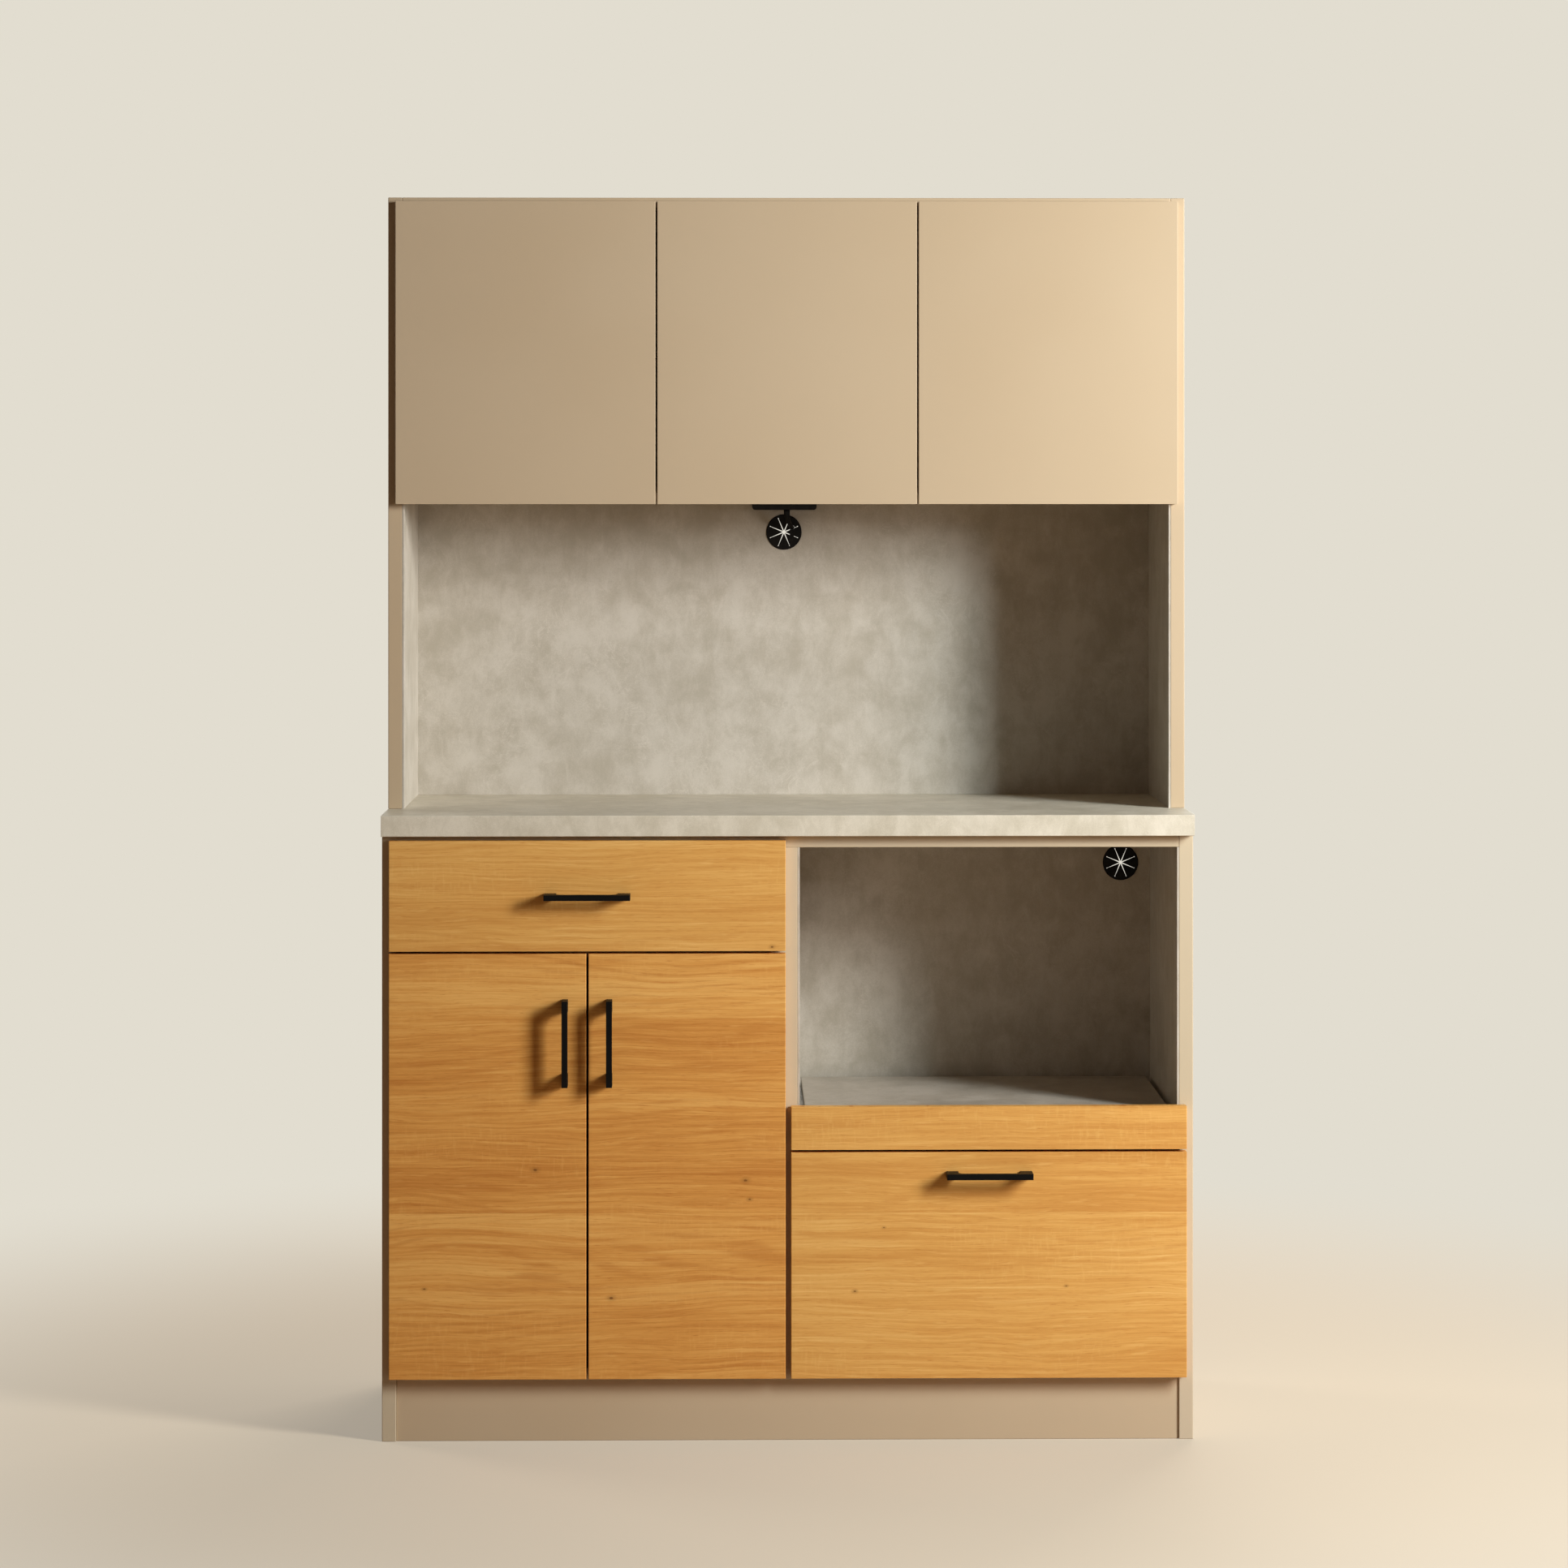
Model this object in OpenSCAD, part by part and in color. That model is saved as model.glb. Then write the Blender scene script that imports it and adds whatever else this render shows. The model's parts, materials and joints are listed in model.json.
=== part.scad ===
// Kitchen storage cabinet: a lower cabinet under a worktop, and a shallower
// cabinet with three doors standing on it over an open working space.
// Millimetres. X runs to the right, Y to the back, Z up. The origin is on the
// floor, in the middle of the width and of the depth over the handles.

/* [Overall] */
// Width over the side panels
unit_w = 1200; // [960:1:1500]
// Depth of the worktop, front to back
unit_d = 450; // [370:1:560]
// Height of the whole cabinet
unit_h = 1846; // [1530:1:2200]
// Height of the worktop's upper face
counter_h = 926; // [765:1:1110]
// Height of the upper cabinet's box
upper_h = 445; // [365:1:540]
// How far the upper part stands back from the lower side panels' front edges
upper_setback = 116; // [70:1:150]

/* [Boards] */
// Thickness of the side panels and the upper partition
side_t = 21; // [16:0.5:28]
// Thickness of the stone-look linings in the open spaces
lining_t = 3; // [2:0.5:6]
// Thickness of the centre divider without its lining
divider_t = 31; // [24:0.5:40]
// Thickness of the bottom, top and fixed boards and the plinth boards
board_t = 18; // [14:0.5:22]
// Thickness of the worktop
counter_t = 31; // [24:0.5:40]
// Thickness of the back boards
back_t = 6; // [4:0.5:8]
// Thickness of the adjustable shelves
shelf_t = 16; // [12:0.5:22]
// Height of the plinth
plinth_h = 90; // [60:1:120]
// How far the plinth stands back from the side panels' front edges
plinth_recess = 3; // [2:0.5:20]
// Distance from the rear edge to the lower back board's front face
low_back_inset = 41; // [24:1:60]
// Distance from the rear edge to the upper back boards' front face
up_back_inset = 21; // [12:1:40]
// Depth of the grooves that hold the back boards
groove_d = 6; // [4:0.5:10]

/* [Fronts] */
// Thickness of the doors and drawer fronts
front_t = 18; // [16:0.5:21]
// Gap between the fronts and the carcase edges behind them
front_gap = 2; // [1.6:0.1:3]
// How far the worktop's front edge stands out past the fronts
counter_lip = 1; // [0.5:0.1:6]
// Radius of the fronts' upright front edges
edge_r = 1; // [0.8:0.1:1.5]
// Side panel edge left bare beside the lower fronts
low_reveal = 11.5; // [8:0.5:15]
// Side panel edge left bare beside the upper doors
up_reveal = 12; // [8:0.5:15]
// Gap between the left and the right lower fronts
middle_gap = 8; // [6:0.5:12]
// Gap between the two lower doors
low_door_gap = 3.2; // [2.6:0.1:5]
// Gap between neighbouring upper doors
up_door_gap = 2.6; // [2.2:0.1:4]
// Gap between a front and the one above it
row_gap = 4; // [3:0.1:6]
// Gap between the worktop's underside and the fronts below it
top_reveal = 6.5; // [4:0.5:10]
// Gap between the plinth's top and the lowest fronts
foot_reveal = 5.5; // [3:0.5:9]
// How far the upper doors hang below the upper cabinet as a finger pull
finger_pull = 16.5; // [12:0.5:25]
// Top board edge left bare above the upper doors
crown_reveal = 6.5; // [4:0.5:9]
// Height of the shallow drawer's front
drawer_front_h = 162.5; // [135:0.5:195]
// Height of the deep drawer's front
deep_front_h = 333; // [275:0.5:396]
// Height of the pull-out shelf's front strip
strip_h = 63.5; // [58:0.5:76]

/* [Pull-out shelf] */
// Thickness of the pull-out plate
plate_t = 15; // [12:0.5:18]
// How far the plate's upper face lies below the strip's top
plate_drop = 9.5; // [4:0.5:12]
// Gap between the plate and the linings on each side
plate_side_gap = 9; // [6:0.5:11]
// Gap between the plate and the back board
plate_rear_gap = 22; // [10:1:40]
// Thickness of the battens under the plate
batten_t = 18; // [15:0.5:25]

/* [Drawer boxes] */
// Thickness of the drawer sides and ends
box_t = 12; // [10:0.5:16]
// Thickness of the drawer bottoms
bottom_t = 5; // [4:0.5:8]
// Depth of the grooves round the drawer bottoms
bottom_groove = 6; // [4:0.5:8]
// Height from a drawer box's lower edge to its bottom
bottom_lift = 9; // [6:0.5:12]
// Space between a drawer box and the board below it
box_foot_gap = 12; // [8:0.5:20]
// How much lower the shallow drawer's box is than its front
shallow_box_less = 55; // [40:1:66]
// How much lower the deep drawer's box is than its front
deep_box_less = 83; // [60:1:120]

/* [Slides] */
// Height of the telescopic slides
slide_h = 35; // [30:0.5:42]
// Thickness of the telescopic slides
slide_w = 12.7; // [11.5:0.1:15]
// Sheet thickness of the slides
slide_t = 1.2; // [1:0.1:1.5]
// Running gap between the slide members
slide_gap = 0.4; // [0.3:0.05:0.6]
// Height of the lips that hold the members together
slide_lip = 1.3; // [1:0.1:1.8]
// Distance from the side panels' front edges to the slides
slide_front = 2; // [1:0.5:6]
// Space left behind the slides
slide_rear_gap = 36; // [24:1:60]
// Diameter of the slides' screw holes
slide_hole_d = 4.5; // [3.5:0.1:6]

/* [Handles] */
// Length of the bar handles
handle_l = 127; // [100:1:160]
// How far the handles stand out from the fronts
handle_reach = 30; // [24:0.5:36]
// Thickness of the handle bars
handle_bar = 8.6; // [7:0.1:11]
// Width of the handles' legs
handle_leg = 18; // [14:0.5:22]
// Chamfer in the handles' inner corners
handle_chamfer = 5; // [3:0.5:7]
// Radius of the handles' outer corners
handle_round = 1.5; // [1:0.1:3]
// Distance from a lower door's free edge to the middle of its handle
handle_edge = 31; // [22:0.5:45]
// Distance from a lower door's top to its handle
handle_door_drop = 66.5; // [40:0.5:100]
// Distance from the deep drawer's top to the middle of its handle
handle_deep_drop = 32; // [22:0.5:50]

/* [Hinges] */
// Diameter of the hinge cups
cup_d = 35; // [33:0.1:36]
// Distance from a door's hinged edge to the cup's rim
cup_edge = 3; // [2.5:0.1:4]
// Sheet thickness of the cups
cup_t = 0.6; // [0.5:0.05:0.7]
// Distance from a door's hinged edge to the pivot
pivot_in = 6.3; // [6.1:0.1:7]
// Distance from the carcase's front plane to the pivot
pivot_out = 14.2; // [13.4:0.1:14.6]
// Diameter of the pivot pin
pin_d = 1.8; // [1.5:0.05:1.9]
// Sheet thickness of the hinge arm
arm_t = 1.5; // [1.2:0.05:1.7]
// Width of the arm's neck
neck_w = 8; // [7:0.1:9]
// Width of the arm's body
arm_w = 16; // [14:0.5:20]
// Length of the arm's body
arm_l = 50; // [40:1:60]
// Height of the hinge plate's foot
plate_foot_l = 48; // [40:1:58]
// Distance from a door's ends to its hinges
hinge_in = 95; // [75:1:115]

/* [Upper partition and shelves] */
// How far the shelves stand back from the side panels' front edges
shelf_recess = 70; // [64:1:90]
// Gap between a shelf's ends and the panels
shelf_end_gap = 0.8; // [0.5:0.1:1.5]
// Diameter of the shelf pins
pin_hole_d = 5; // [4:0.5:6]
// Spacing of the holes for the shelf pins
pin_pitch = 32; // [26:1:40]

/* [Sockets and grommets] */
// Diameter of the grommets' flanges
grommet_d = 56; // [48:0.5:64]
// Height of the upper grommet's centre below the upper cabinet
up_grommet_drop = 61.4; // [50:0.1:74]
// Distance from the right lining to the lower grommet's centre
low_grommet_in = 46.4; // [38:0.1:60]
// Height of the lower grommet's centre below the top board
low_grommet_drop = 57.2; // [46:0.1:70]
// Width of the socket strip
socket_w = 101; // [84:0.5:120]
// Height of the socket strip
socket_h = 26.4; // [22:0.1:31]
// Depth of the socket strip
socket_d = 40; // [32:0.5:50]
// Gap between the socket strip and the back board
socket_rear_gap = 10; // [6:0.5:20]

/* [Supply cord] */
// Diameter of the cord
cord_d = 6.8; // [5:0.1:8]
// Gap between neighbouring turns of the coil
turn_gap = 0.7; // [0.5:0.1:2]
// Radius of the coil's outermost turn
coil_r = 45; // [40:1:60]
// Turns in each of the coil's two layers
coil_turns = 2; // [1:1:4]
// Width of the plug
plug_w = 26; // [20:0.5:32]
// Length of the plug's body
plug_l = 30; // [22:0.5:40]
// Straight length of cord between the coil and the plug
plug_lead = 26; // [24:1:40]

/* [Hidden] */
$fn = 48;

// Overrun of every cut past the face that it opens.
cut = 1;
// Step of the arcs that round an outline.
arc_step = 30;

// Planes of the construction, front to back.
y_back = (unit_d - counter_lip + handle_reach) / 2;
y_counter = y_back - unit_d;
y_face = y_counter + counter_lip;
y_low = y_face + front_t + front_gap;
y_low_back = y_back - low_back_inset;
y_up = y_low + upper_setback;
y_up_face = y_up - front_gap - front_t;
y_up_back = y_back - up_back_inset;

// Planes across the width.
x_out = unit_w / 2;
x_side = x_out - side_t;
x_lined = x_side - lining_t;
x_div_left = -(divider_t + lining_t) / 2;
x_div_right = x_div_left + divider_t;
x_div_lined = x_div_right + lining_t;
x_front = x_out - low_reveal;
x_middle = middle_gap / 2;
x_split = -(x_front + x_middle) / 2;
x_up_front = x_out - up_reveal;
up_door_w = (2 * x_up_front - 2 * up_door_gap) / 3;
x_up_split = x_up_front - up_door_w - up_door_gap / 2;
x_part_left = x_up_split - side_t / 2;
x_part_right = x_up_split + side_t / 2;

// Heights.
z_counter_under = counter_h - counter_t;
z_low_top = z_counter_under - board_t;
z_bottom_top = plinth_h + board_t;
z_front_top = z_counter_under - top_reveal;
z_drawer = z_front_top - drawer_front_h;
z_door_top = z_drawer - row_gap;
z_foot = plinth_h + foot_reveal;
z_deep_top = z_foot + deep_front_h;
z_strip = z_deep_top + row_gap;
z_strip_top = z_strip + strip_h;
z_floor_board = z_drawer - row_gap / 2 - board_t / 2;
z_floor_board_top = z_floor_board + board_t;
z_up_under = unit_h - upper_h;
z_up_floor = z_up_under + board_t;
z_up_ceiling = unit_h - board_t;
z_up_door = z_up_under - finger_pull;
z_up_door_top = unit_h - crown_reveal;

// A board between two opposite corners.
module board(low, high)
    translate(low)
        cube(high - low);

// A front with rounded upright front edges, between two opposite corners.
module front_board(low, high)
    translate([0, 0, low[2]])
        linear_extrude(height = high[2] - low[2])
            polygon(concat(
                [for (a = [180:arc_step:270])
                    [low[0] + edge_r + edge_r * cos(a), low[1] + edge_r + edge_r * sin(a)]],
                [for (a = [270:arc_step:360])
                    [high[0] - edge_r + edge_r * cos(a), low[1] + edge_r + edge_r * sin(a)]],
                [[high[0], high[1]], [low[0], high[1]]]
            ));

// Shelf pins: heights of the shelves, and the four corners of each shelf.
low_shelf_z = z_bottom_top + (z_floor_board - z_bottom_top) / 2 - shelf_t;
up_shelf_z = z_up_floor + (z_up_ceiling - z_up_floor - shelf_t) / 2;
pin_in = 8;
pin_out = 9;
pin_play = 0.05;
pin_tongue_t = 3;
pin_tongue_w = 7;
pin_column = 40;
low_pin_ys = [y_low + shelf_recess + pin_column, y_low_back - pin_column];
up_pin_ys = [y_up + shelf_recess + pin_column, y_up_back - pin_column];

// Blind holes for shelf pins in a panel face; side is the way that the face looks.
module pin_holes(x, side, ys, z)
    for (y = ys)
        for (step = [-1, 0, 1])
            translate([x + side * cut, y, z + step * pin_pitch - pin_hole_d / 2 - pin_tongue_t])
                rotate([0, -side * 90, 0])
                    cylinder(d = pin_hole_d, h = pin_in + 2 * cut);

// A pin whose round shank sits in a hole and whose flat tongue carries a shelf.
module shelf_pin(x, side, y, z)
    translate([x, y, z]) {
        translate([-side * pin_in, 0, -pin_tongue_t - pin_hole_d / 2])
            rotate([0, side * 90, 0])
                cylinder(d = pin_hole_d - 2 * pin_play, h = pin_in + pin_tongue_t / 2);
        translate([side > 0 ? 0 : -pin_tongue_t, -pin_tongue_w / 2, -pin_tongue_t - pin_hole_d])
            cube([pin_tongue_t, pin_tongue_w, pin_tongue_t + pin_hole_d]);
        translate([side > 0 ? 0 : -pin_out, -pin_tongue_w / 2, -pin_tongue_t])
            cube([pin_out, pin_tongue_w, pin_tongue_t]);
    }

// Side panel; side is -1 on the left and 1 on the right.
module side_panel(side, y_front, z_low, z_high, y_groove, z_groove)
    difference() {
        board([side > 0 ? x_side : -x_out, y_front, z_low], [side > 0 ? x_out : -x_side, y_back, z_high]);
        board([side > 0 ? x_side - cut : -x_side - groove_d, y_groove, z_groove],
              [side > 0 ? x_side + groove_d : -x_side + cut, y_groove + back_t, z_high + cut]);
    }

module lower_side_left()
    color("tan")
        difference() {
            side_panel(-1, y_low, 0, z_counter_under, y_low_back, plinth_h);
            pin_holes(-x_side, 1, low_pin_ys, low_shelf_z);
        }

module lower_side_right()
    color("tan")
        side_panel(1, y_low, 0, z_counter_under, y_low_back, plinth_h);

module centre_divider()
    color("tan")
        difference() {
            board([x_div_left, y_low, z_bottom_top], [x_div_right, y_low_back, z_low_top]);
            pin_holes(x_div_left, -1, low_pin_ys, low_shelf_z);
        }

module bottom_board()
    color("tan")
        board([-x_side, y_low, plinth_h], [x_side, y_low_back, z_bottom_top]);

module lower_top_board()
    color("tan")
        board([-x_side, y_low, z_low_top], [x_side, y_low_back, z_counter_under]);

module plinth_boards()
    color("tan")
        for (y = [y_low + plinth_recess, y_low_back - board_t])
            board([-x_side, y, 0], [x_side, y + board_t, plinth_h]);

low_grommet_x = x_lined - low_grommet_in;
low_grommet_z = z_low_top - low_grommet_drop;
up_grommet_z = z_up_under - up_grommet_drop;
grommet_rim = 2.5;
grommet_bore = grommet_d - 2 * grommet_rim;

// Hole for a grommet through a back board whose front face is at y.
module grommet_hole(x, y, z)
    translate([x, y - cut, z])
        rotate([-90, 0, 0])
            cylinder(d = grommet_bore, h = back_t + 2 * cut);

module lower_back_board()
    color("gray")
        difference() {
            board([-x_side - groove_d, y_low_back, plinth_h],
                  [x_side + groove_d, y_low_back + back_t, z_counter_under]);
            grommet_hole(low_grommet_x, y_low_back, low_grommet_z);
        }

module appliance_linings()
    color("gray")
        for (x = [x_div_right, x_lined])
            board([x, y_low, z_strip], [x + lining_t, y_low_back, z_low_top]);

module drawer_floor_board()
    color("tan")
        board([-x_side, y_low, z_floor_board], [x_div_left, y_low_back, z_floor_board_top]);

// The worktop's front edges are rounded like the fronts.
module worktop()
    color("silver")
        translate([-x_out, 0, 0])
            rotate([90, 0, 90])
                linear_extrude(height = unit_w)
                    polygon(concat(
                        [for (a = [180:arc_step:270])
                            [y_counter + edge_r + edge_r * cos(a),
                             z_counter_under + edge_r + edge_r * sin(a)]],
                        [[y_back, z_counter_under], [y_back, counter_h]],
                        [for (a = [90:arc_step:180])
                            [y_counter + edge_r + edge_r * cos(a), counter_h - edge_r + edge_r * sin(a)]]
                    ));

module upper_side_left()
    color("tan")
        difference() {
            side_panel(-1, y_up, counter_h, unit_h, y_up_back, counter_h);
            pin_holes(-x_side, 1, up_pin_ys, up_shelf_z);
        }

module upper_side_right()
    color("tan")
        difference() {
            side_panel(1, y_up, counter_h, unit_h, y_up_back, counter_h);
            pin_holes(x_side, -1, up_pin_ys, up_shelf_z);
        }

module upper_bottom_board()
    color("tan")
        board([-x_side, y_up, z_up_under], [x_side, y_up_back, z_up_floor]);

module upper_top_board()
    color("tan")
        board([-x_side, y_up, z_up_ceiling], [x_side, y_up_back, unit_h]);

module upper_partition()
    color("tan")
        difference() {
            board([x_part_left, y_up, z_up_floor], [x_part_right, y_up_back, z_up_ceiling]);
            pin_holes(x_part_left, -1, up_pin_ys, up_shelf_z);
            pin_holes(x_part_right, 1, up_pin_ys, up_shelf_z);
        }

module hutch_linings()
    color("gray")
        for (x = [-x_side, x_lined])
            board([x, y_up, counter_h], [x + lining_t, y_up_back, z_up_under]);

module hutch_back_board()
    color("gray")
        difference() {
            board([-x_side - groove_d, y_up_back, counter_h],
                  [x_side + groove_d, y_up_back + back_t, z_up_floor]);
            grommet_hole(0, y_up_back, up_grommet_z);
        }

module upper_back_board()
    color("tan")
        board([-x_side - groove_d, y_up_back, z_up_floor], [x_side + groove_d, y_up_back + back_t, unit_h]);

// One shelf behind the lower doors, a wide and a narrow one in the upper cabinet.
shelf_spans = [[-x_side, x_part_left], [x_part_right, x_side]];
module adjustable_shelves()
    color("tan") {
        board([-x_side + shelf_end_gap, y_low + shelf_recess, low_shelf_z],
              [x_div_left - shelf_end_gap, y_low_back - shelf_end_gap, low_shelf_z + shelf_t]);
        for (span = shelf_spans)
            board([span[0] + shelf_end_gap, y_up + shelf_recess, up_shelf_z],
                  [span[1] - shelf_end_gap, y_up_back - shelf_end_gap, up_shelf_z + shelf_t]);
    }

module shelf_pins()
    color("silver") {
        for (y = low_pin_ys) {
            shelf_pin(-x_side, 1, y, low_shelf_z);
            shelf_pin(x_div_left, -1, y, low_shelf_z);
        }
        for (span = shelf_spans)
            for (y = up_pin_ys) {
                shelf_pin(span[0], 1, y, up_shelf_z);
                shelf_pin(span[1], -1, y, up_shelf_z);
            }
    }

// Doors: ends, heights, carcase plane, hinged side (-1 left, 1 right) and panel face at the hinges.
doors = [
    [-x_up_front, -x_up_front + up_door_w, z_up_door, z_up_door_top, y_up, -1, -x_side],
    [-up_door_w / 2, up_door_w / 2, z_up_door, z_up_door_top, y_up, 1, x_part_left],
    [x_up_front - up_door_w, x_up_front, z_up_door, z_up_door_top, y_up, 1, x_side],
    [-x_front, x_split - low_door_gap / 2, z_foot, z_door_top, y_low, -1, -x_side],
    [x_split + low_door_gap / 2, -x_middle, z_foot, z_door_top, y_low, 1, x_div_left]
];

// In a hinge's own frame X runs inward from the door's hinged edge and -Y forward.
cup_play = 0.1;
cup_x = cup_edge + cup_d / 2;
cup_inner = cup_d / 2 - cup_t;
pin_l = 2 * sqrt(pow(cup_inner, 2) - pow(cup_x - pivot_in, 2)) + cup_t;
eye_play = 0.1;
eye_t = 0.9;
eye_r = pin_d / 2 + eye_play + eye_t;
eye_room = 0.3;
cup_floor = pivot_out + eye_r + eye_room;
sweep_r = norm([pivot_in - edge_r, pivot_out - front_gap - edge_r]) + 2 * edge_r;
elbow_x = pivot_in + sweep_r - edge_r / 2;
neck_end = 8;
wing_w = 16;
wing_l = 52;
plate_foot_t = 2.5;
plate_foot_w = 28;
plate_ridge_w = 11;
plate_inset = 2;
flange_share = 0.8;

// Places every hinge of one door and draws its children there.
module at_hinges(door)
    for (z = [door[2] + hinge_in, door[3] - hinge_in])
        translate([door[5] < 0 ? door[0] : door[1], door[4], z])
            mirror([door[5] < 0 ? 0 : 1, 0, 0])
                children();

// Distance from a door's hinged edge to the panel face that carries its hinges.
function overlay(door) = abs(door[6] - (door[5] < 0 ? door[0] : door[1]));

module door_panel(door)
    difference() {
        front_board([door[0], door[4] - front_gap - front_t, door[2]],
                    [door[1], door[4] - front_gap, door[3]]);
        at_hinges(door)
            translate([cup_x, 0, 0])
                rotate([90, 0, 0])
                    cylinder(r = cup_d / 2 + cup_play, h = cup_floor + cup_t + cup_play);
    }

// A pressed cup with two screw wings, and the pivot pin across it.
module hinge_cup() {
    translate([cup_x, 0, 0])
        rotate([90, 0, 0]) {
            rotate_extrude()
                polygon([
                    [cup_inner, front_gap - cup_t], [cup_d / 2, front_gap - cup_t],
                    [cup_d / 2, cup_floor + cup_t], [0, cup_floor + cup_t],
                    [0, cup_floor], [cup_inner, cup_floor]
                ]);
            translate([0, 0, front_gap - cup_t])
                linear_extrude(height = cup_t)
                    difference() {
                        square([wing_w, wing_l], center = true);
                        circle(r = cup_inner);
                    }
        }
    translate([pivot_in, -pivot_out, 0])
        cylinder(d = pin_d, h = pin_l, center = true);
}

// The fixed arm: an eye round the pin, a cranked neck, and a channel over the plate.
module hinge_arm(lap) {
    ridge = elbow_x - lap - plate_foot_t;
    linear_extrude(height = neck_w, center = true)
        difference() {
            union() {
                translate([pivot_in, -pivot_out])
                    circle(r = eye_r);
                translate([pivot_in, -pivot_out - eye_r])
                    square([elbow_x + arm_t - pivot_in, arm_t]);
                translate([elbow_x, -pivot_out - eye_r])
                    square([arm_t, pivot_out + eye_r + neck_end + arm_t]);
            }
            translate([pivot_in, -pivot_out])
                circle(d = pin_d + 2 * eye_play);
        }
    translate([elbow_x, neck_end, -arm_w / 2])
        cube([arm_t, arm_l, arm_w]);
    for (z = [-arm_w / 2, arm_w / 2 - arm_t])
        translate([elbow_x - ridge * flange_share, neck_end, z])
            cube([ridge * flange_share + arm_t, arm_l, arm_t]);
}

// The plate screwed to the panel: a long foot under a ridge that the arm straddles.
module hinge_plate(lap) {
    translate([lap, neck_end + (arm_l - plate_foot_w) / 2, -plate_foot_l / 2])
        cube([plate_foot_t, plate_foot_w, plate_foot_l]);
    translate([lap + plate_foot_t, neck_end + plate_inset, -plate_ridge_w / 2])
        cube([elbow_x - lap - plate_foot_t, arm_l - 2 * plate_inset, plate_ridge_w]);
}

module door_cups(door)
    color("silver")
        at_hinges(door)
            hinge_cup();

module hinge_arms()
    color("silver")
        for (door = doors)
            at_hinges(door)
                hinge_arm(overlay(door));

module hinge_plates()
    color("silver")
        for (door = doors)
            at_hinges(door)
                hinge_plate(overlay(door));

module upper_door_left() color("tan") door_panel(doors[0]);
module upper_door_left_cups() door_cups(doors[0]);
module upper_door_middle() color("tan") door_panel(doors[1]);
module upper_door_middle_cups() door_cups(doors[1]);
module upper_door_right() color("tan") door_panel(doors[2]);
module upper_door_right_cups() door_cups(doors[2]);
module lower_door_left() color("peru") door_panel(doors[3]);
module lower_door_left_cups() door_cups(doors[3]);
module lower_door_right() color("peru") door_panel(doors[4]);
module lower_door_right_cups() door_cups(doors[4]);

// Half the outline of a bar handle, from the middle of its inside to its rounded outer corner.
handle_half = concat(
    [[handle_l / 2 - handle_leg - handle_chamfer, -handle_reach + handle_bar],
     [handle_l / 2 - handle_leg, -handle_reach + handle_bar + handle_chamfer],
     [handle_l / 2 - handle_leg, 0], [handle_l / 2, 0]],
    [for (a = [0:-arc_step:-90])
        [handle_l / 2 - handle_round + handle_round * cos(a),
         -handle_reach + handle_round + handle_round * sin(a)]]
);

// A bar handle standing on the face y = 0, lying along X.
module bar_handle()
    translate([0, 0, -handle_bar / 2])
        linear_extrude(height = handle_bar)
            polygon(concat(
                handle_half,
                [for (i = [len(handle_half) - 1:-1:0]) [-handle_half[i][0], handle_half[i][1]]]
            ));

handle_door_z = z_door_top - handle_door_drop - handle_l / 2;
module door_handle(x)
    color("dimgray")
        translate([x, y_face, handle_door_z])
            rotate([0, 90, 0])
                bar_handle();

module lower_door_left_handle() door_handle(x_split - low_door_gap / 2 - handle_edge);
module lower_door_right_handle() door_handle(x_split + low_door_gap / 2 + handle_edge);

module drawer_handle()
    color("dimgray")
        translate([x_split, y_face, z_drawer + drawer_front_h / 2])
            bar_handle();

module deep_drawer_handle()
    color("dimgray")
        translate([-x_split, y_face, z_deep_top - handle_deep_drop])
            bar_handle();

// Slides. Their profiles run from the panel (x = 0) to the drawer (x = slide_w).
slide_l = y_low_back - y_low - slide_front - slide_rear_gap;
outer_h = slide_h / 2;
outer_w = slide_w - slide_t - slide_gap;
mid_x = slide_t + slide_gap;
mid_h = outer_h - slide_t - slide_gap;
mid_w = outer_w - slide_t - slide_gap;
in_x = mid_x + slide_t + slide_gap;
in_h = mid_h - slide_t - slide_gap;
in_w = mid_w - slide_t - slide_gap;
neck_h = in_h - slide_lip;

// A C profile with lips, from x0 to x1, of half height h.
module c_profile(x0, x1, h)
    polygon([
        [x0, -h], [x1, -h], [x1, -h + slide_t + slide_lip], [x1 - slide_t, -h + slide_t + slide_lip],
        [x1 - slide_t, -h + slide_t], [x0 + slide_t, -h + slide_t], [x0 + slide_t, h - slide_t],
        [x1 - slide_t, h - slide_t], [x1 - slide_t, h - slide_t - slide_lip],
        [x1, h - slide_t - slide_lip], [x1, h], [x0, h]
    ]);

// The inner member: wide feet held by the middle member's lips, and a web on the drawer.
module inner_profile()
    polygon([
        [in_x, -in_h], [in_w, -in_h], [in_w, -neck_h], [slide_w, -neck_h], [slide_w, neck_h],
        [in_w, neck_h], [in_w, in_h], [in_x, in_h], [in_x, in_h - slide_t],
        [in_w - slide_t, in_h - slide_t], [in_w - slide_t, neck_h - slide_t],
        [slide_w - slide_t, neck_h - slide_t], [slide_w - slide_t, -neck_h + slide_t],
        [in_w - slide_t, -neck_h + slide_t], [in_w - slide_t, -in_h + slide_t], [in_x, -in_h + slide_t]
    ]);

// Where the slides' screw holes lie along them.
hole_share = 0.15;

// A slide member along Y, with screw holes through its web at the given x.
module member(web_x)
    difference() {
        translate([0, slide_l, 0])
            rotate([90, 0, 0])
                linear_extrude(height = slide_l)
                    children();
        for (y = [slide_l * hole_share, slide_l * (1 - hole_share)])
            translate([web_x - cut, y, 0])
                rotate([0, 90, 0])
                    cylinder(d = slide_hole_d, h = slide_t + 2 * cut);
    }

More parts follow.
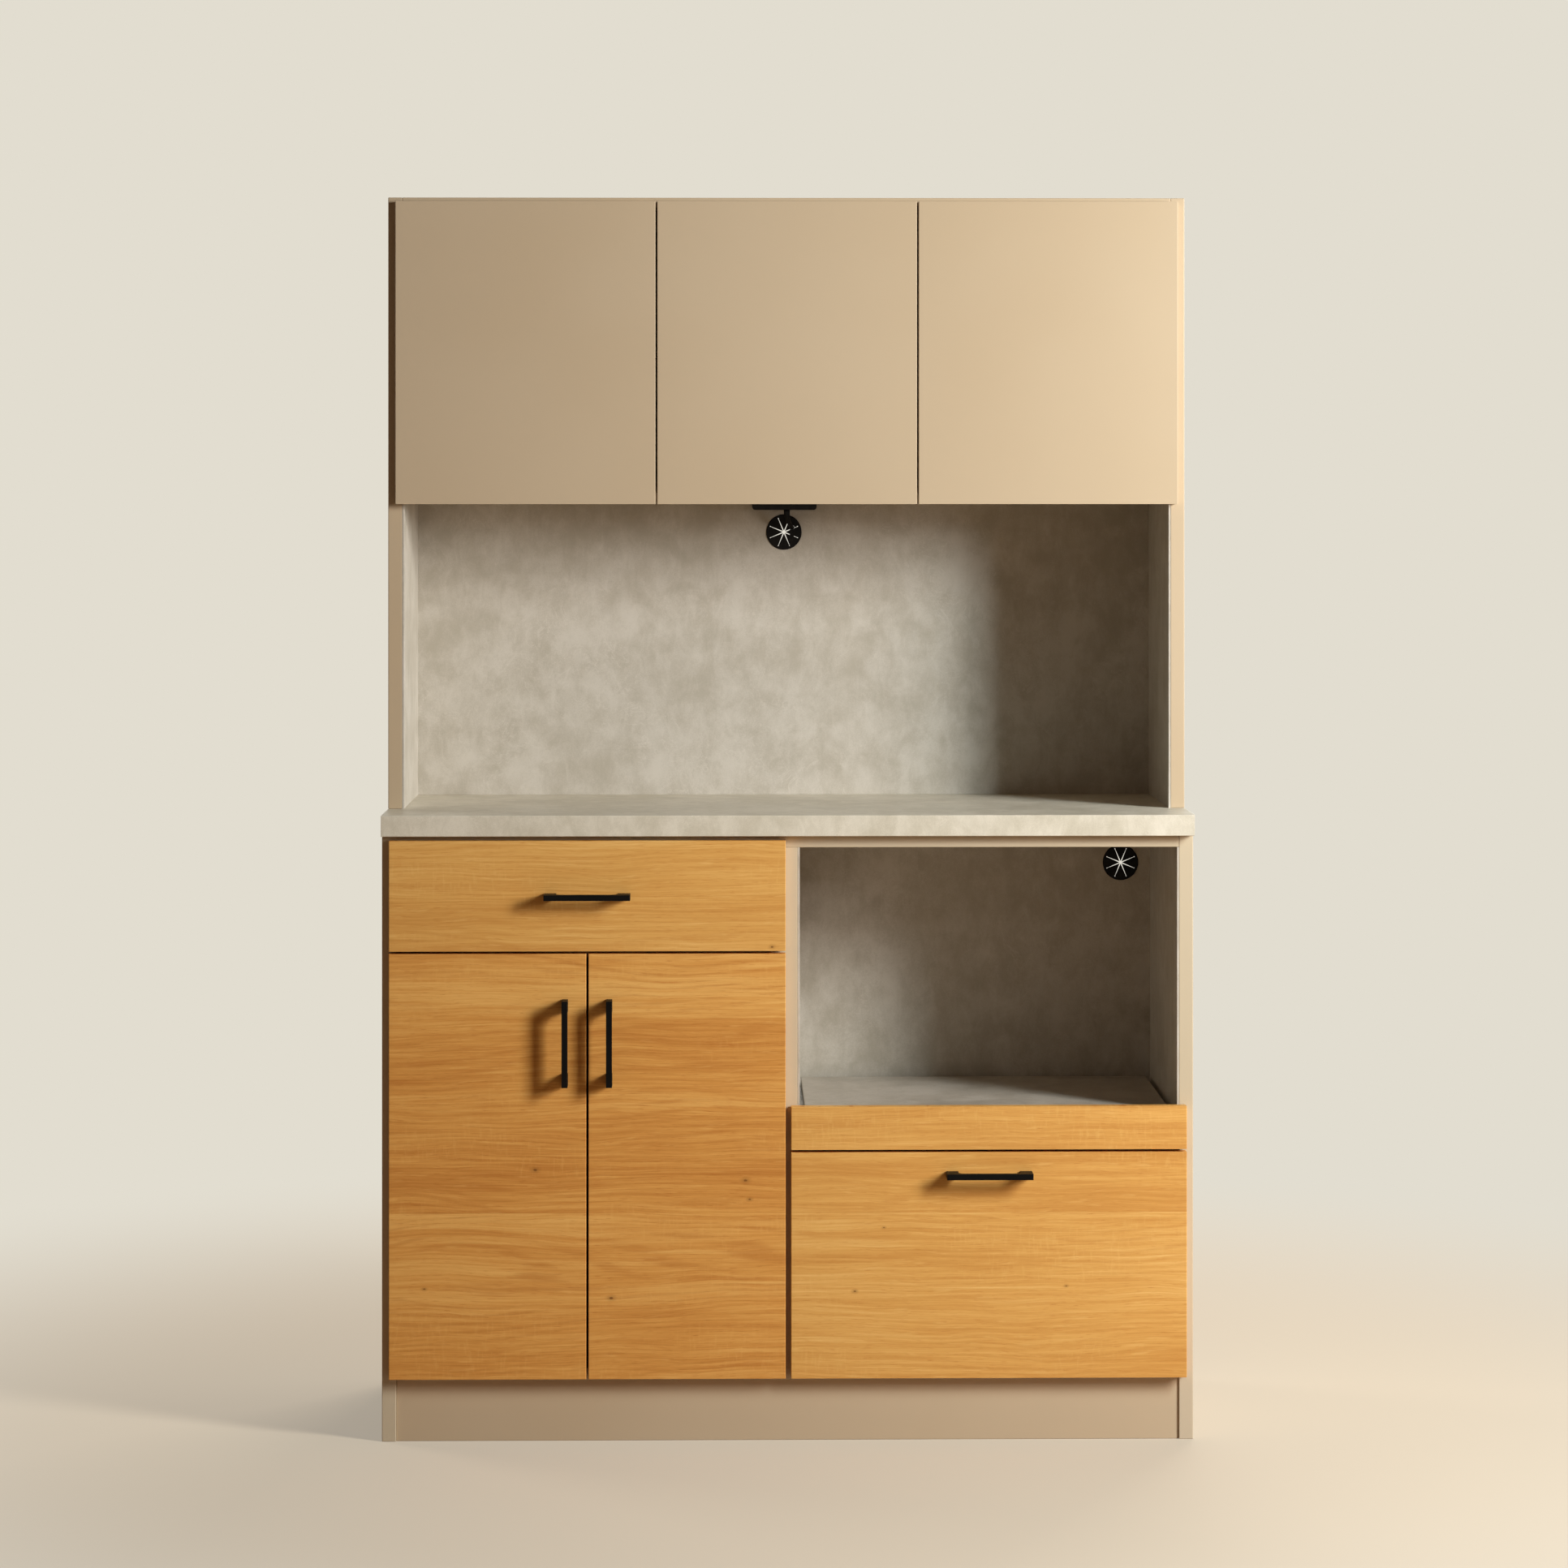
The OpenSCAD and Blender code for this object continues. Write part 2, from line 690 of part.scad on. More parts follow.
// Bays with slides: left face, right face, middle height of the slides.
drawer_box_z = z_floor_board_top + box_foot_gap;
deep_box_z = z_bottom_top + box_foot_gap;
bays = [
    [-x_side, x_div_left, drawer_box_z + slide_h],
    [x_div_right, x_side, deep_box_z + slide_h],
    [x_div_lined, x_lined, z_strip_top - plate_drop - plate_t - slide_h / 2]
];

// Draws children at both sides of a bay, looking inward.
module slide_pair(bay) {
    translate([bay[0], y_low + slide_front, bay[2]])
        children();
    translate([bay[1], y_low + slide_front, bay[2]])
        mirror([1, 0, 0])
            children();
}

module slide_outer_members()
    color("silver")
        for (bay = bays)
            slide_pair(bay)
                member(0)
                    c_profile(0, outer_w, outer_h);

module slide_middle(bay)
    color("silver")
        slide_pair(bay)
            member(mid_x)
                c_profile(mid_x, mid_w, mid_h);

module slide_inner(bay)
    color("silver")
        slide_pair(bay)
            member(slide_w - slide_t)
                inner_profile();

module drawer_slide_middle() slide_middle(bays[0]);
module drawer_slide_inner() slide_inner(bays[0]);
module deep_drawer_slide_middle() slide_middle(bays[1]);
module deep_drawer_slide_inner() slide_inner(bays[1]);
module pull_out_slide_middle() slide_middle(bays[2]);
module pull_out_slide_inner() slide_inner(bays[2]);

// Drawer boxes: outer ends in X, lower edge, height. They end with their slides.
drawer_box = [bays[0][0] + slide_w, bays[0][1] - slide_w, drawer_box_z, drawer_front_h - shallow_box_less];
deep_box = [bays[1][0] + slide_w, bays[1][1] - slide_w, deep_box_z, deep_front_h - deep_box_less];
y_box = y_low - front_gap;
y_box_back = y_low + slide_front + slide_l;

// The groove that runs round the inside of a drawer box, as one slab.
module bottom_slab(box)
    board([box[0] + box_t - bottom_groove, y_box + box_t - bottom_groove, box[2] + bottom_lift],
          [box[1] - box_t + bottom_groove, y_box_back - box_t + bottom_groove,
           box[2] + bottom_lift + bottom_t]);

module box_sides(box)
    color("wheat")
        difference() {
            for (x = [box[0], box[1] - box_t])
                board([x, y_box, box[2]], [x + box_t, y_box_back, box[2] + box[3]]);
            bottom_slab(box);
        }

module box_ends(box)
    color("wheat")
        difference() {
            for (y = [y_box, y_box_back - box_t])
                board([box[0] + box_t, y, box[2]], [box[1] - box_t, y + box_t, box[2] + box[3]]);
            bottom_slab(box);
        }

module drawer_front()
    color("peru")
        front_board([-x_front, y_face, z_drawer], [-x_middle, y_face + front_t, z_front_top]);

module drawer_sides() box_sides(drawer_box);
module drawer_ends() box_ends(drawer_box);
module drawer_bottom() color("wheat") bottom_slab(drawer_box);

module deep_drawer_front()
    color("peru")
        front_board([x_middle, y_face, z_foot], [x_front, y_face + front_t, z_deep_top]);

module deep_drawer_sides() box_sides(deep_box);
module deep_drawer_ends() box_ends(deep_box);
module deep_drawer_bottom() color("wheat") bottom_slab(deep_box);

// Pull-out shelf: a plate behind an upright strip, on battens that carry the slides.
z_plate_top = z_strip_top - plate_drop;
z_plate = z_plate_top - plate_t;

module pull_out_strip()
    color("peru")
        front_board([x_middle, y_face, z_strip], [x_front, y_face + front_t, z_strip_top]);

module pull_out_plate()
    color("gray")
        board([x_div_lined + plate_side_gap, y_box, z_plate],
              [x_lined - plate_side_gap, y_low_back - plate_rear_gap, z_plate_top]);

module pull_out_battens()
    color("wheat")
        for (x = [x_div_lined + slide_w, x_lined - slide_w - batten_t])
            board([x, y_box, z_plate - slide_h], [x + batten_t, y_box_back, z_plate]);

// Grommets: a slit rubber disc with a neck in the board and a lip behind it.
flange_t = 1.8;
grommet_neck_t = 1.1;
grommet_play = 0.05;
grommet_lip = 1.2;
grommet_lip_t = 1.5;
slit_count = 8;
slit_turn = 22.5;
slit_share = 0.83;
slit_middle = 1.8;
slit_end = 0.4;
relief_d = 1.4;
cord_hole_play = 0.2;
cord_x = 13;
cord_up = 7;

module grommet(x, y, z, cord_hole)
    translate([x, y, z])
        rotate([90, 0, 0])
            difference() {
                rotate_extrude()
                    polygon([
                        [0, 0], [grommet_bore / 2 - grommet_neck_t, 0],
                        [grommet_bore / 2 - grommet_neck_t, -back_t - grommet_lip_t],
                        [grommet_bore / 2 + grommet_lip - grommet_play, -back_t - grommet_lip_t],
                        [grommet_bore / 2 + grommet_lip - grommet_play, -back_t],
                        [grommet_bore / 2 - grommet_play, -back_t], [grommet_bore / 2 - grommet_play, 0],
                        [grommet_d / 2, 0], [grommet_d / 2, flange_t / 2],
                        [grommet_d / 2 - flange_t / 2, flange_t], [0, flange_t]
                    ]);
                translate([0, 0, -cut])
                    linear_extrude(height = flange_t + 2 * cut)
                        for (i = [0:slit_count - 1])
                            rotate(slit_turn + i * 360 / slit_count) {
                                polygon([
                                    [0, -slit_middle / 2], [grommet_d / 2 * slit_share, -slit_end / 2],
                                    [grommet_d / 2 * slit_share, slit_end / 2], [0, slit_middle / 2]
                                ]);
                                translate([grommet_d / 2 * slit_share, 0])
                                    circle(d = relief_d);
                            }
                if (cord_hole)
                    translate([cord_x, cord_up, -cut])
                        cylinder(d = cord_d + 2 * cord_hole_play, h = flange_t + 2 * cut);
            }

module cord_grommets()
    color("dimgray") {
        grommet(0, y_up_back, up_grommet_z, true);
        grommet(low_grommet_x, y_low_back, low_grommet_z, false);
    }

// Socket strip under the upper cabinet, with two sockets in its front.
socket_round = 5;
socket_y = y_up_back - socket_rear_gap;
socket_xs = [-socket_w / 4, socket_w / 4];
socket_face = socket_y - socket_d;
socket_z = z_up_under - socket_h / 2;
insert_w = 30;
insert_h = 17;
insert_t = 12;
insert_proud = 0.8;
blade_pitch = 12.7;
slot_w = 1.8;
slot_h = 7.5;
slot_d = 10;

module socket_housing()
    color("dimgray")
        difference() {
            translate([0, socket_y, 0])
                rotate([90, 0, 0])
                    linear_extrude(height = socket_d)
                        polygon(concat(
                            [[socket_w / 2, z_up_under], [-socket_w / 2, z_up_under]],
                            [for (a = [180:arc_step:270])
                                [-socket_w / 2 + socket_round + socket_round * cos(a),
                                 z_up_under - socket_h + socket_round + socket_round * sin(a)]],
                            [for (a = [270:arc_step:360])
                                [socket_w / 2 - socket_round + socket_round * cos(a),
                                 z_up_under - socket_h + socket_round + socket_round * sin(a)]]
                        ));
            for (x = socket_xs)
                board([x - insert_w / 2, socket_face - cut, socket_z - insert_h / 2],
                      [x + insert_w / 2, socket_face + insert_t, socket_z + insert_h / 2]);
        }

module socket_inserts()
    color("black")
        for (x = socket_xs)
            difference() {
                board([x - insert_w / 2, socket_face - insert_proud, socket_z - insert_h / 2],
                      [x + insert_w / 2, socket_face + insert_t, socket_z + insert_h / 2]);
                for (side = [-1, 1])
                    translate([x + side * blade_pitch / 2 - slot_w / 2, socket_face - insert_proud - cut,
                               socket_z - slot_h / 2])
                        cube([slot_w, slot_d + cut, slot_h]);
            }

// The cord leaves the strip's underside, dips into the grommet, and hangs behind the cabinet.
cord_path = [
    [4, 188, 1374.6], [4.5, 189.5, 1365], [7, 194.5, 1356.5], [10, 202, 1350.5],
    [12, 209, 1347.5], [13, 216, 1346.6], [13, 227, 1346.6], [13, 234, 1345.6],
    [13, 243, 1341.6], [13, 250, 1334.6], [13, 254, 1326], [13, 255, 1318],
    [13, 255, 38], [15, 255, 26], [21, 255, 15.5], [30, 255, 8],
    [40, 255, 4.2], [47, 255, 3.4], [53.2, 255, 3.4]
];
cord_ring_gap = 20;
cord_sides = 10;

// Splits every run of a path into steps no longer than gap.
function split_path(path, gap) = concat(
    [for (i = [0:len(path) - 2])
        let (steps = ceil(norm(path[i + 1] - path[i]) / gap))
            for (k = [0:steps - 1])
                path[i] + (path[i + 1] - path[i]) * k / steps],
    [path[len(path) - 1]]
);

function unit(v) = v / norm(v);

// Direction of the path at point i.
function heading(path, i) =
    i == 0 ? unit(path[1] - path[0])
    : i == len(path) - 1 ? unit(path[i] - path[i - 1])
    : unit(unit(path[i] - path[i - 1]) + unit(path[i + 1] - path[i]));

// A tube round a path: rings square to the path, kept untwisted by the side vector.
module tube(path, r, sides, side) {
    rings = [for (i = [0:len(path) - 1])
        let (along = heading(path, i), a = unit(side - along * (side * along)), b = cross(along, a))
            for (k = [0:sides - 1])
                path[i] + r * (cos(360 * k / sides) * a + sin(360 * k / sides) * b)];
    walls = [for (i = [0:len(path) - 2])
        for (k = [0:sides - 1])
            let (p = i * sides + k, q = i * sides + (k + 1) % sides)
                each [[p, p + sides, q], [q, p + sides, q + sides]]];
    last = (len(path) - 1) * sides;
    polyhedron(
        points = rings,
        faces = concat(
            walls,
            [for (k = [1:sides - 2]) [0, k, k + 1]],
            [for (k = [1:sides - 2]) [last, last + k + 1, last + k]]
        )
    );
}

module supply_cord()
    color("dimgray")
        tube(split_path(cord_path, cord_ring_gap), cord_d / 2, cord_sides, [1, 1, 1]);

// The coil goes on from the cord's end, spirals in on the floor, climbs a layer, and spirals out.
cord_end = cord_path[len(cord_path) - 1];
turn_pitch = cord_d + turn_gap;
half_turns = 360 * coil_turns + 90;
coil_centre = [cord_end[0] + cord_d, cord_end[1] + coil_r];
rings_per_turn = 24;
coil_sides = 6;
function coil_radius(a) = coil_r - turn_pitch * (a < half_turns ? a : 2 * half_turns - a) / 360;
function coil_climb(a) = turn_pitch * min(1, max(0, (a - half_turns + 90) / 180));
function coil_point(a) = [
    coil_centre[0] + coil_radius(a) * sin(a),
    coil_centre[1] - coil_radius(a) * cos(a),
    cord_end[2] + coil_climb(a)
];
plug_end = coil_point(2 * half_turns) - [plug_lead, 0, 0];
coil_path = concat(
    [coil_point(0) - [cord_d, 0, 0]],
    [for (i = [0:rings_per_turn * half_turns / 180]) coil_point(i * 360 / rings_per_turn)],
    [plug_end]
);

// Least gap between points of the coil that lie more than half a turn apart.
coil_gap = min([for (i = [0:len(coil_path) - 1])
    for (k = [i + rings_per_turn / 2:1:len(coil_path) - 1])
        norm(coil_path[i] - coil_path[k])]) - cord_d;
echo(coil_gap = coil_gap);

module cord_coil()
    color("dimgray")
        tube(coil_path, cord_d / 2, coil_sides, [0, 0, 1]);

// The flat plug at the cord's end: a boot, a body with sloping shoulders and two blades.
boot_l = 14;
boot_d = 10;
shoulder_l = 9;
shoulder_w = 14;
blade_w = 6.3;
blade_t = 1.5;
blade_l = 17;

module plug()
    translate([plug_end[0] - boot_l, plug_end[1], plug_end[2]]) {
        color("dimgray") {
            rotate([0, 90, 0])
                cylinder(d = boot_d, h = boot_l);
            translate([0, 0, -plug_end[2]])
                linear_extrude(height = 2 * plug_end[2])
                    polygon([
                        [0, shoulder_w / 2], [-shoulder_l, plug_w / 2], [-plug_l, plug_w / 2],
                        [-plug_l, -plug_w / 2], [-shoulder_l, -plug_w / 2], [0, -shoulder_w / 2]
                    ]);
        }
        color("silver")
            for (side = [-1, 1])
                translate([-plug_l - blade_l, side * blade_pitch / 2 - blade_t / 2, -blade_w / 2])
                    cube([blade_l, blade_t, blade_w]);
    }

lower_side_left();
lower_side_right();
centre_divider();
bottom_board();
lower_top_board();
plinth_boards();
lower_back_board();
appliance_linings();
drawer_floor_board();
adjustable_shelves();
worktop();
upper_side_left();
upper_side_right();
upper_bottom_board();
upper_top_board();
upper_partition();
hutch_linings();
hutch_back_board();
upper_back_board();
shelf_pins();
hinge_plates();
hinge_arms();
slide_outer_members();
cord_grommets();
socket_housing();
socket_inserts();
upper_door_left();
upper_door_left_cups();
upper_door_middle();
upper_door_middle_cups();
upper_door_right();
upper_door_right_cups();
lower_door_left();
lower_door_left_cups();
lower_door_left_handle();
lower_door_right();
lower_door_right_cups();
lower_door_right_handle();
drawer_front();
drawer_sides();
drawer_ends();
drawer_bottom();
drawer_handle();
drawer_slide_inner();
drawer_slide_middle();
deep_drawer_front();
deep_drawer_sides();
deep_drawer_ends();
deep_drawer_bottom();
deep_drawer_handle();
deep_drawer_slide_inner();
deep_drawer_slide_middle();
pull_out_plate();
pull_out_strip();
pull_out_battens();
pull_out_slide_inner();
pull_out_slide_middle();
supply_cord();
cord_coil();
plug();
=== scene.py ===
"""Kitchen storage cabinet: looks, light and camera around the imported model.

Lengths are metres in the model's own frame: X to the right, Y to the back, Z up.
"""
import json
import logging
import math
from dataclasses import dataclass
from enum import Enum
from typing import ClassVar, Sequence, Union

import bmesh
import bpy
from mathutils import Matrix, Vector
from mathutils.geometry import tessellate_polygon


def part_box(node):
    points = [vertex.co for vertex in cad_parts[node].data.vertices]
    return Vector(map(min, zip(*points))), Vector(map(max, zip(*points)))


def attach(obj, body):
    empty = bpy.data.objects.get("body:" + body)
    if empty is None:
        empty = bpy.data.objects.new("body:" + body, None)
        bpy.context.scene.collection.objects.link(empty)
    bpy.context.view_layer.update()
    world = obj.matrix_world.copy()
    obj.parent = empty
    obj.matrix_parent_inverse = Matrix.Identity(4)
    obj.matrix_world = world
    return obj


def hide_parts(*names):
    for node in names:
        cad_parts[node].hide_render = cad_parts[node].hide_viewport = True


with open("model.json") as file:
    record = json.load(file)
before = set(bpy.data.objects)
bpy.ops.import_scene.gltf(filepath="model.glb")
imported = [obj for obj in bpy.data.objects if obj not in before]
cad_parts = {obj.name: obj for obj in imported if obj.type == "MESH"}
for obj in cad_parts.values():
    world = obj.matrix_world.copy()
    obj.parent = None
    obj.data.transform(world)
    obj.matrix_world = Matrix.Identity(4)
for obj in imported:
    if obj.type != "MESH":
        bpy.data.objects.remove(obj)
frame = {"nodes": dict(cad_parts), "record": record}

LOG = logging.getLogger("kitchen_cabinet")
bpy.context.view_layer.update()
MM = 0.001
FULL_TURN, HALF_TURN, QUARTER_TURN = 360, 180, 90
REARWARD = Vector((0, 1, 0))

Colour = tuple[float, float, float, float]
Triple = tuple[float, float, float]
Span = tuple[float, float]
Feed = Union[bpy.types.NodeSocket, float, Triple, Colour, None]

# Where nearly all, and where most, of a noise's values lie.
WIDE_SPAN: Span = (0.3, 0.7)
NARROW_SPAN: Span = (0.35, 0.65)

# The colour sockets of a Mix node, whose other kinds of socket have the same names.
MIX_SHARE, MIX_FIRST, MIX_SECOND, MIX_RESULT = 0, 6, 7, 2


def paint(red: int, green: int, blue: int) -> Colour:
    """Turns a colour of 0 to 255 a channel into the linear colour that shaders use.

    Args:
        red: The red channel.
        green: The green channel.
        blue: The blue channel.

    Returns:
        The linear colour with full alpha.
    """
    knee, slope, lift, gamma = 0.04045, 12.92, 0.055, 2.4
    shares = [channel / 255 for channel in (red, green, blue)]
    linear = [s / slope if s <= knee else ((s + lift) / (1 + lift)) ** gamma for s in shares]
    return (linear[0], linear[1], linear[2], 1.0)


@dataclass(frozen=True)
class Pattern:
    """A noise: its features a metre, its finer octaves and their strength, and its distortion."""

    scale: Feed = 1.0
    detail: float = 2.0
    rough: float = 0.5
    bend: float = 0.0


class Wiring:
    """Adds nodes to one node tree and joins their sockets."""

    def __init__(self, tree: bpy.types.NodeTree) -> None:
        """Keeps the tree that the nodes go into."""
        self.tree = tree

    def add(self, kind: str, **settings: object) -> bpy.types.Node:
        """Adds one node.

        Args:
            kind: Blender's name of the node type.
            **settings: Properties to set on the node.

        Returns:
            The new node.
        """
        node = self.tree.nodes.new(kind)
        for name, value in settings.items():
            setattr(node, name, value)
        return node

    def feed(self, socket: bpy.types.NodeSocket, value: Feed) -> None:
        """Joins an input to an output, or sets it to a plain value.

        Args:
            socket: The input.
            value: The output or the plain value, or None to leave the input as it is.
        """
        if isinstance(value, bpy.types.NodeSocket):
            self.tree.links.new(value, socket)
        elif value is not None:
            socket.default_value = value

    def supply(self, node: bpy.types.Node, feeds: dict[str, Feed]) -> None:
        """Feeds a node's inputs by their names.

        Args:
            node: The node.
            feeds: What each named input gets.
        """
        for name, value in feeds.items():
            self.feed(node.inputs[name], value)

    def calc(self, operation: str, first: Feed, second: Feed = None) -> bpy.types.NodeSocket:
        """Adds a Math node.

        Args:
            operation: Blender's name of the operation.
            first: The first number.
            second: The second number, if there is one.

        Returns:
            The result's output.
        """
        node = self.add("ShaderNodeMath", operation=operation)
        self.feed(node.inputs[0], first)
        self.feed(node.inputs[1], second)
        return node.outputs[0]

    def vector_calc(self, operation: str, first: Feed, second: Feed = None) -> bpy.types.NodeSocket:
        """Adds a Vector Math node.

        Args:
            operation: Blender's name of the operation.
            first: The first vector.
            second: The second vector, if there is one.

        Returns:
            The result's output, which is a plain number for a length.
        """
        node = self.add("ShaderNodeVectorMath", operation=operation)
        self.feed(node.inputs[0], first)
        self.feed(node.inputs[1], second)
        return node.outputs["Value" if operation == "LENGTH" else "Vector"]

    def weigh(self, *parts: tuple[Feed, float]) -> bpy.types.NodeSocket:
        """Adds up numbers by their weights.

        Args:
            *parts: Each number with its weight.

        Returns:
            The sum's output.
        """
        total = self.calc("MULTIPLY", *parts[0])
        for value, weight in parts[1:]:
            total = self.calc("ADD", total, self.calc("MULTIPLY", value, weight))
        return total

    def remap(self, value: Feed, source: Span, target: Span = (0.0, 1.0)) -> bpy.types.NodeSocket:
        """Maps a number smoothly from one span to another and keeps it within that.

        Args:
            value: The number.
            source: The start and end of the span that it comes from.
            target: What that start and end become.

        Returns:
            The mapped number's output.
        """
        node = self.add("ShaderNodeMapRange", interpolation_type="SMOOTHSTEP")
        for socket, feed in zip(node.inputs, (value, *source, *target)):
            self.feed(socket, feed)
        return node.outputs[0]

    def stretch(self, vector: Feed, scale: Triple, turn: Triple = (0.0, 0.0, 0.0)) -> bpy.types.NodeSocket:
        """Scales and turns a texture vector.

        Args:
            vector: The texture vector.
            scale: The scale along each axis.
            turn: The turn about each axis, in radians.

        Returns:
            The changed vector's output.
        """
        node = self.add("ShaderNodeMapping")
        self.supply(node, {"Vector": vector, "Rotation": turn, "Scale": scale})
        return node.outputs[0]

    def noise(self, vector: Feed, pattern: Pattern) -> bpy.types.NodeSocket:
        """Adds a Noise Texture.

        Args:
            vector: The texture vector.
            pattern: What the noise looks like.

        Returns:
            The factor's output.
        """
        node = self.add("ShaderNodeTexNoise")
        self.supply(node, {
            "Vector": vector, "Scale": pattern.scale, "Detail": pattern.detail,
            "Roughness": pattern.rough, "Distortion": pattern.bend,
        })
        return node.outputs["Fac"]

    def tint(self, share: Feed, first: Feed, second: Feed, mode: str = "MIX") -> bpy.types.NodeSocket:
        """Mixes two colours.

        Args:
            share: How much of the second colour is used.
            first: The first colour.
            second: The second colour.
            mode: How the two are mixed.

        Returns:
            The mixed colour's output.
        """
        node = self.add("ShaderNodeMix", data_type="RGBA", blend_type=mode)
        for index, feed in ((MIX_SHARE, share), (MIX_FIRST, first), (MIX_SECOND, second)):
            self.feed(node.inputs[index], feed)
        return node.outputs[MIX_RESULT]

    def mix_shaders(self, share: Feed, first: Feed, second: Feed) -> bpy.types.NodeSocket:
        """Mixes two shaders.

        Args:
            share: How much of the second shader is used.
            first: The first shader's output.
            second: The second shader's output.

        Returns:
            The mixed shader's output.
        """
        node = self.add("ShaderNodeMixShader")
        for socket, feed in zip(node.inputs, (share, first, second)):
            self.feed(socket, feed)
        return node.outputs[0]

    def take_z(self, vector: Feed) -> bpy.types.NodeSocket:
        """Takes the Z of a vector.

        Args:
            vector: The vector.

        Returns:
            The output of its Z.
        """
        node = self.add("ShaderNodeSeparateXYZ")
        self.feed(node.inputs[0], vector)
        return node.outputs["Z"]

    def shift_z(self, vector: Feed, shift: Feed) -> bpy.types.NodeSocket:
        """Moves a texture vector along Z.

        Args:
            vector: The texture vector.
            shift: How far it moves.

        Returns:
            The moved vector's output.
        """
        joined = self.add("ShaderNodeCombineXYZ")
        self.feed(joined.inputs["Z"], shift)
        return self.vector_calc("ADD", vector, joined.outputs[0])

    def effect(self, kind: type["ShaderEffect"], **feeds: Feed) -> bpy.types.Node:
        """Places a shared effect in this tree.

        Args:
            kind: The effect's class.
            **feeds: What its named inputs get.

        Returns:
            The group node, with its named outputs.
        """
        node = self.add("ShaderNodeGroup")
        node.node_tree = kind.tree()
        self.supply(node, feeds)
        return node


@dataclass(frozen=True)
class Port:
    """One named socket of a shared effect."""

    name: str
    kind: str = "NodeSocketFloat"


VECTOR_PORT = Port("Vector", "NodeSocketVector")
SURFACE_PORTS = (Port("Colour", "NodeSocketColor"), Port("Roughness"), Port("Height"))


class ShaderEffect:
    """A shader node group with named sockets, built the first time that it is used."""

    title: ClassVar[str] = ""
    inlets: ClassVar[tuple[Port, ...]] = (VECTOR_PORT,)
    outlets: ClassVar[tuple[Port, ...]] = SURFACE_PORTS
    roughness: ClassVar[Span]
    built: ClassVar[dict[str, bpy.types.NodeTree]] = {}

    @classmethod
    def tree(cls) -> bpy.types.NodeTree:
        """Gives the effect's group, and builds it the first time.

        Returns:
            The group's node tree.
        """
        if cls.title not in cls.built:
            group = bpy.data.node_groups.new(cls.title, "ShaderNodeTree")
            for ports, way in ((cls.inlets, "INPUT"), (cls.outlets, "OUTPUT")):
                for port in ports:
                    group.interface.new_socket(port.name, in_out=way, socket_type=port.kind)
            wiring = Wiring(group)
            source = wiring.add("NodeGroupInput").outputs
            made = cls.wire(wiring, {port.name: source[port.name] for port in cls.inlets})
            wiring.supply(wiring.add("NodeGroupOutput"), made)
            cls.built[cls.title] = group
        return cls.built[cls.title]

    @classmethod
    def wire(cls, wiring: Wiring, inlet: dict[str, Feed]) -> dict[str, Feed]:
        """Adds the effect's nodes.

        Args:
            wiring: The group's own wiring.
            inlet: The group's input sockets by name.

        Returns:
            What each named output gets.
        """
        raise NotImplementedError


class StoneCloud(ShaderEffect):
    """Soft clouds, brushed strokes and thin pale veins of a stone-look foil."""

    title = "stone_cloud"
    inlets = (VECTOR_PORT, Port("Pale", "NodeSocketColor"), Port("Dark", "NodeSocketColor"))
    roughness = (0.36, 0.44)
    clouds: ClassVar[Pattern] = Pattern(5.5, 3.0)
    blotches: ClassVar[Pattern] = Pattern(19.0, 6.0, 0.62, 0.3)
    strokes: ClassVar[Pattern] = Pattern(42.0, 6.0, 0.72, 0.5)
    stroke_scale: ClassVar[Triple] = (1.0, 1.0, 0.45)
    stroke_turn: ClassVar[Triple] = (0.0, 0.6, 0.0)
    specks: ClassVar[Pattern] = Pattern(480.0, 2.0, 0.6)
    ridges: ClassVar[Pattern] = Pattern(21.0, 5.0, 0.62, 0.9)
    ridge_level: ClassVar[float] = 0.5
    vein_width: ClassVar[float] = 0.014
    vein_clouds: ClassVar[Span] = (0.42, 0.62)
    weights: ClassVar[tuple[float, ...]] = (0.20, 0.38, 0.28, 0.14, 0.07)
    dark_to_pale: ClassVar[Span] = (0.38, 0.62)

    @classmethod
    def wire(cls, wiring: Wiring, inlet: dict[str, Feed]) -> dict[str, Feed]:
        """Adds clouds of three sizes, veins where a noise crosses its middle, and specks.

        Args:
            wiring: The group's own wiring.
            inlet: The group's input sockets by name.

        Returns:
            The colour, the roughness and the height.
        """
        vector = inlet["Vector"]
        clouds = wiring.noise(vector, cls.clouds)
        blotches = wiring.noise(vector, cls.blotches)
        strokes = wiring.noise(wiring.stretch(vector, cls.stroke_scale, cls.stroke_turn), cls.strokes)
        specks = wiring.noise(vector, cls.specks)
        height = wiring.calc("SUBTRACT", wiring.noise(vector, cls.ridges), cls.ridge_level)
        ridges = wiring.remap(wiring.calc("ABSOLUTE", height), (0.0, cls.vein_width), (1.0, 0.0))
        veins = wiring.calc("MULTIPLY", ridges, wiring.remap(clouds, cls.vein_clouds))
        total = wiring.weigh(*zip((clouds, blotches, strokes, specks, veins), cls.weights))
        return {
            "Colour": wiring.tint(wiring.remap(total, cls.dark_to_pale), inlet["Dark"], inlet["Pale"]),
            "Roughness": wiring.remap(blotches, WIDE_SPAN, cls.roughness),
            "Height": specks,
        }


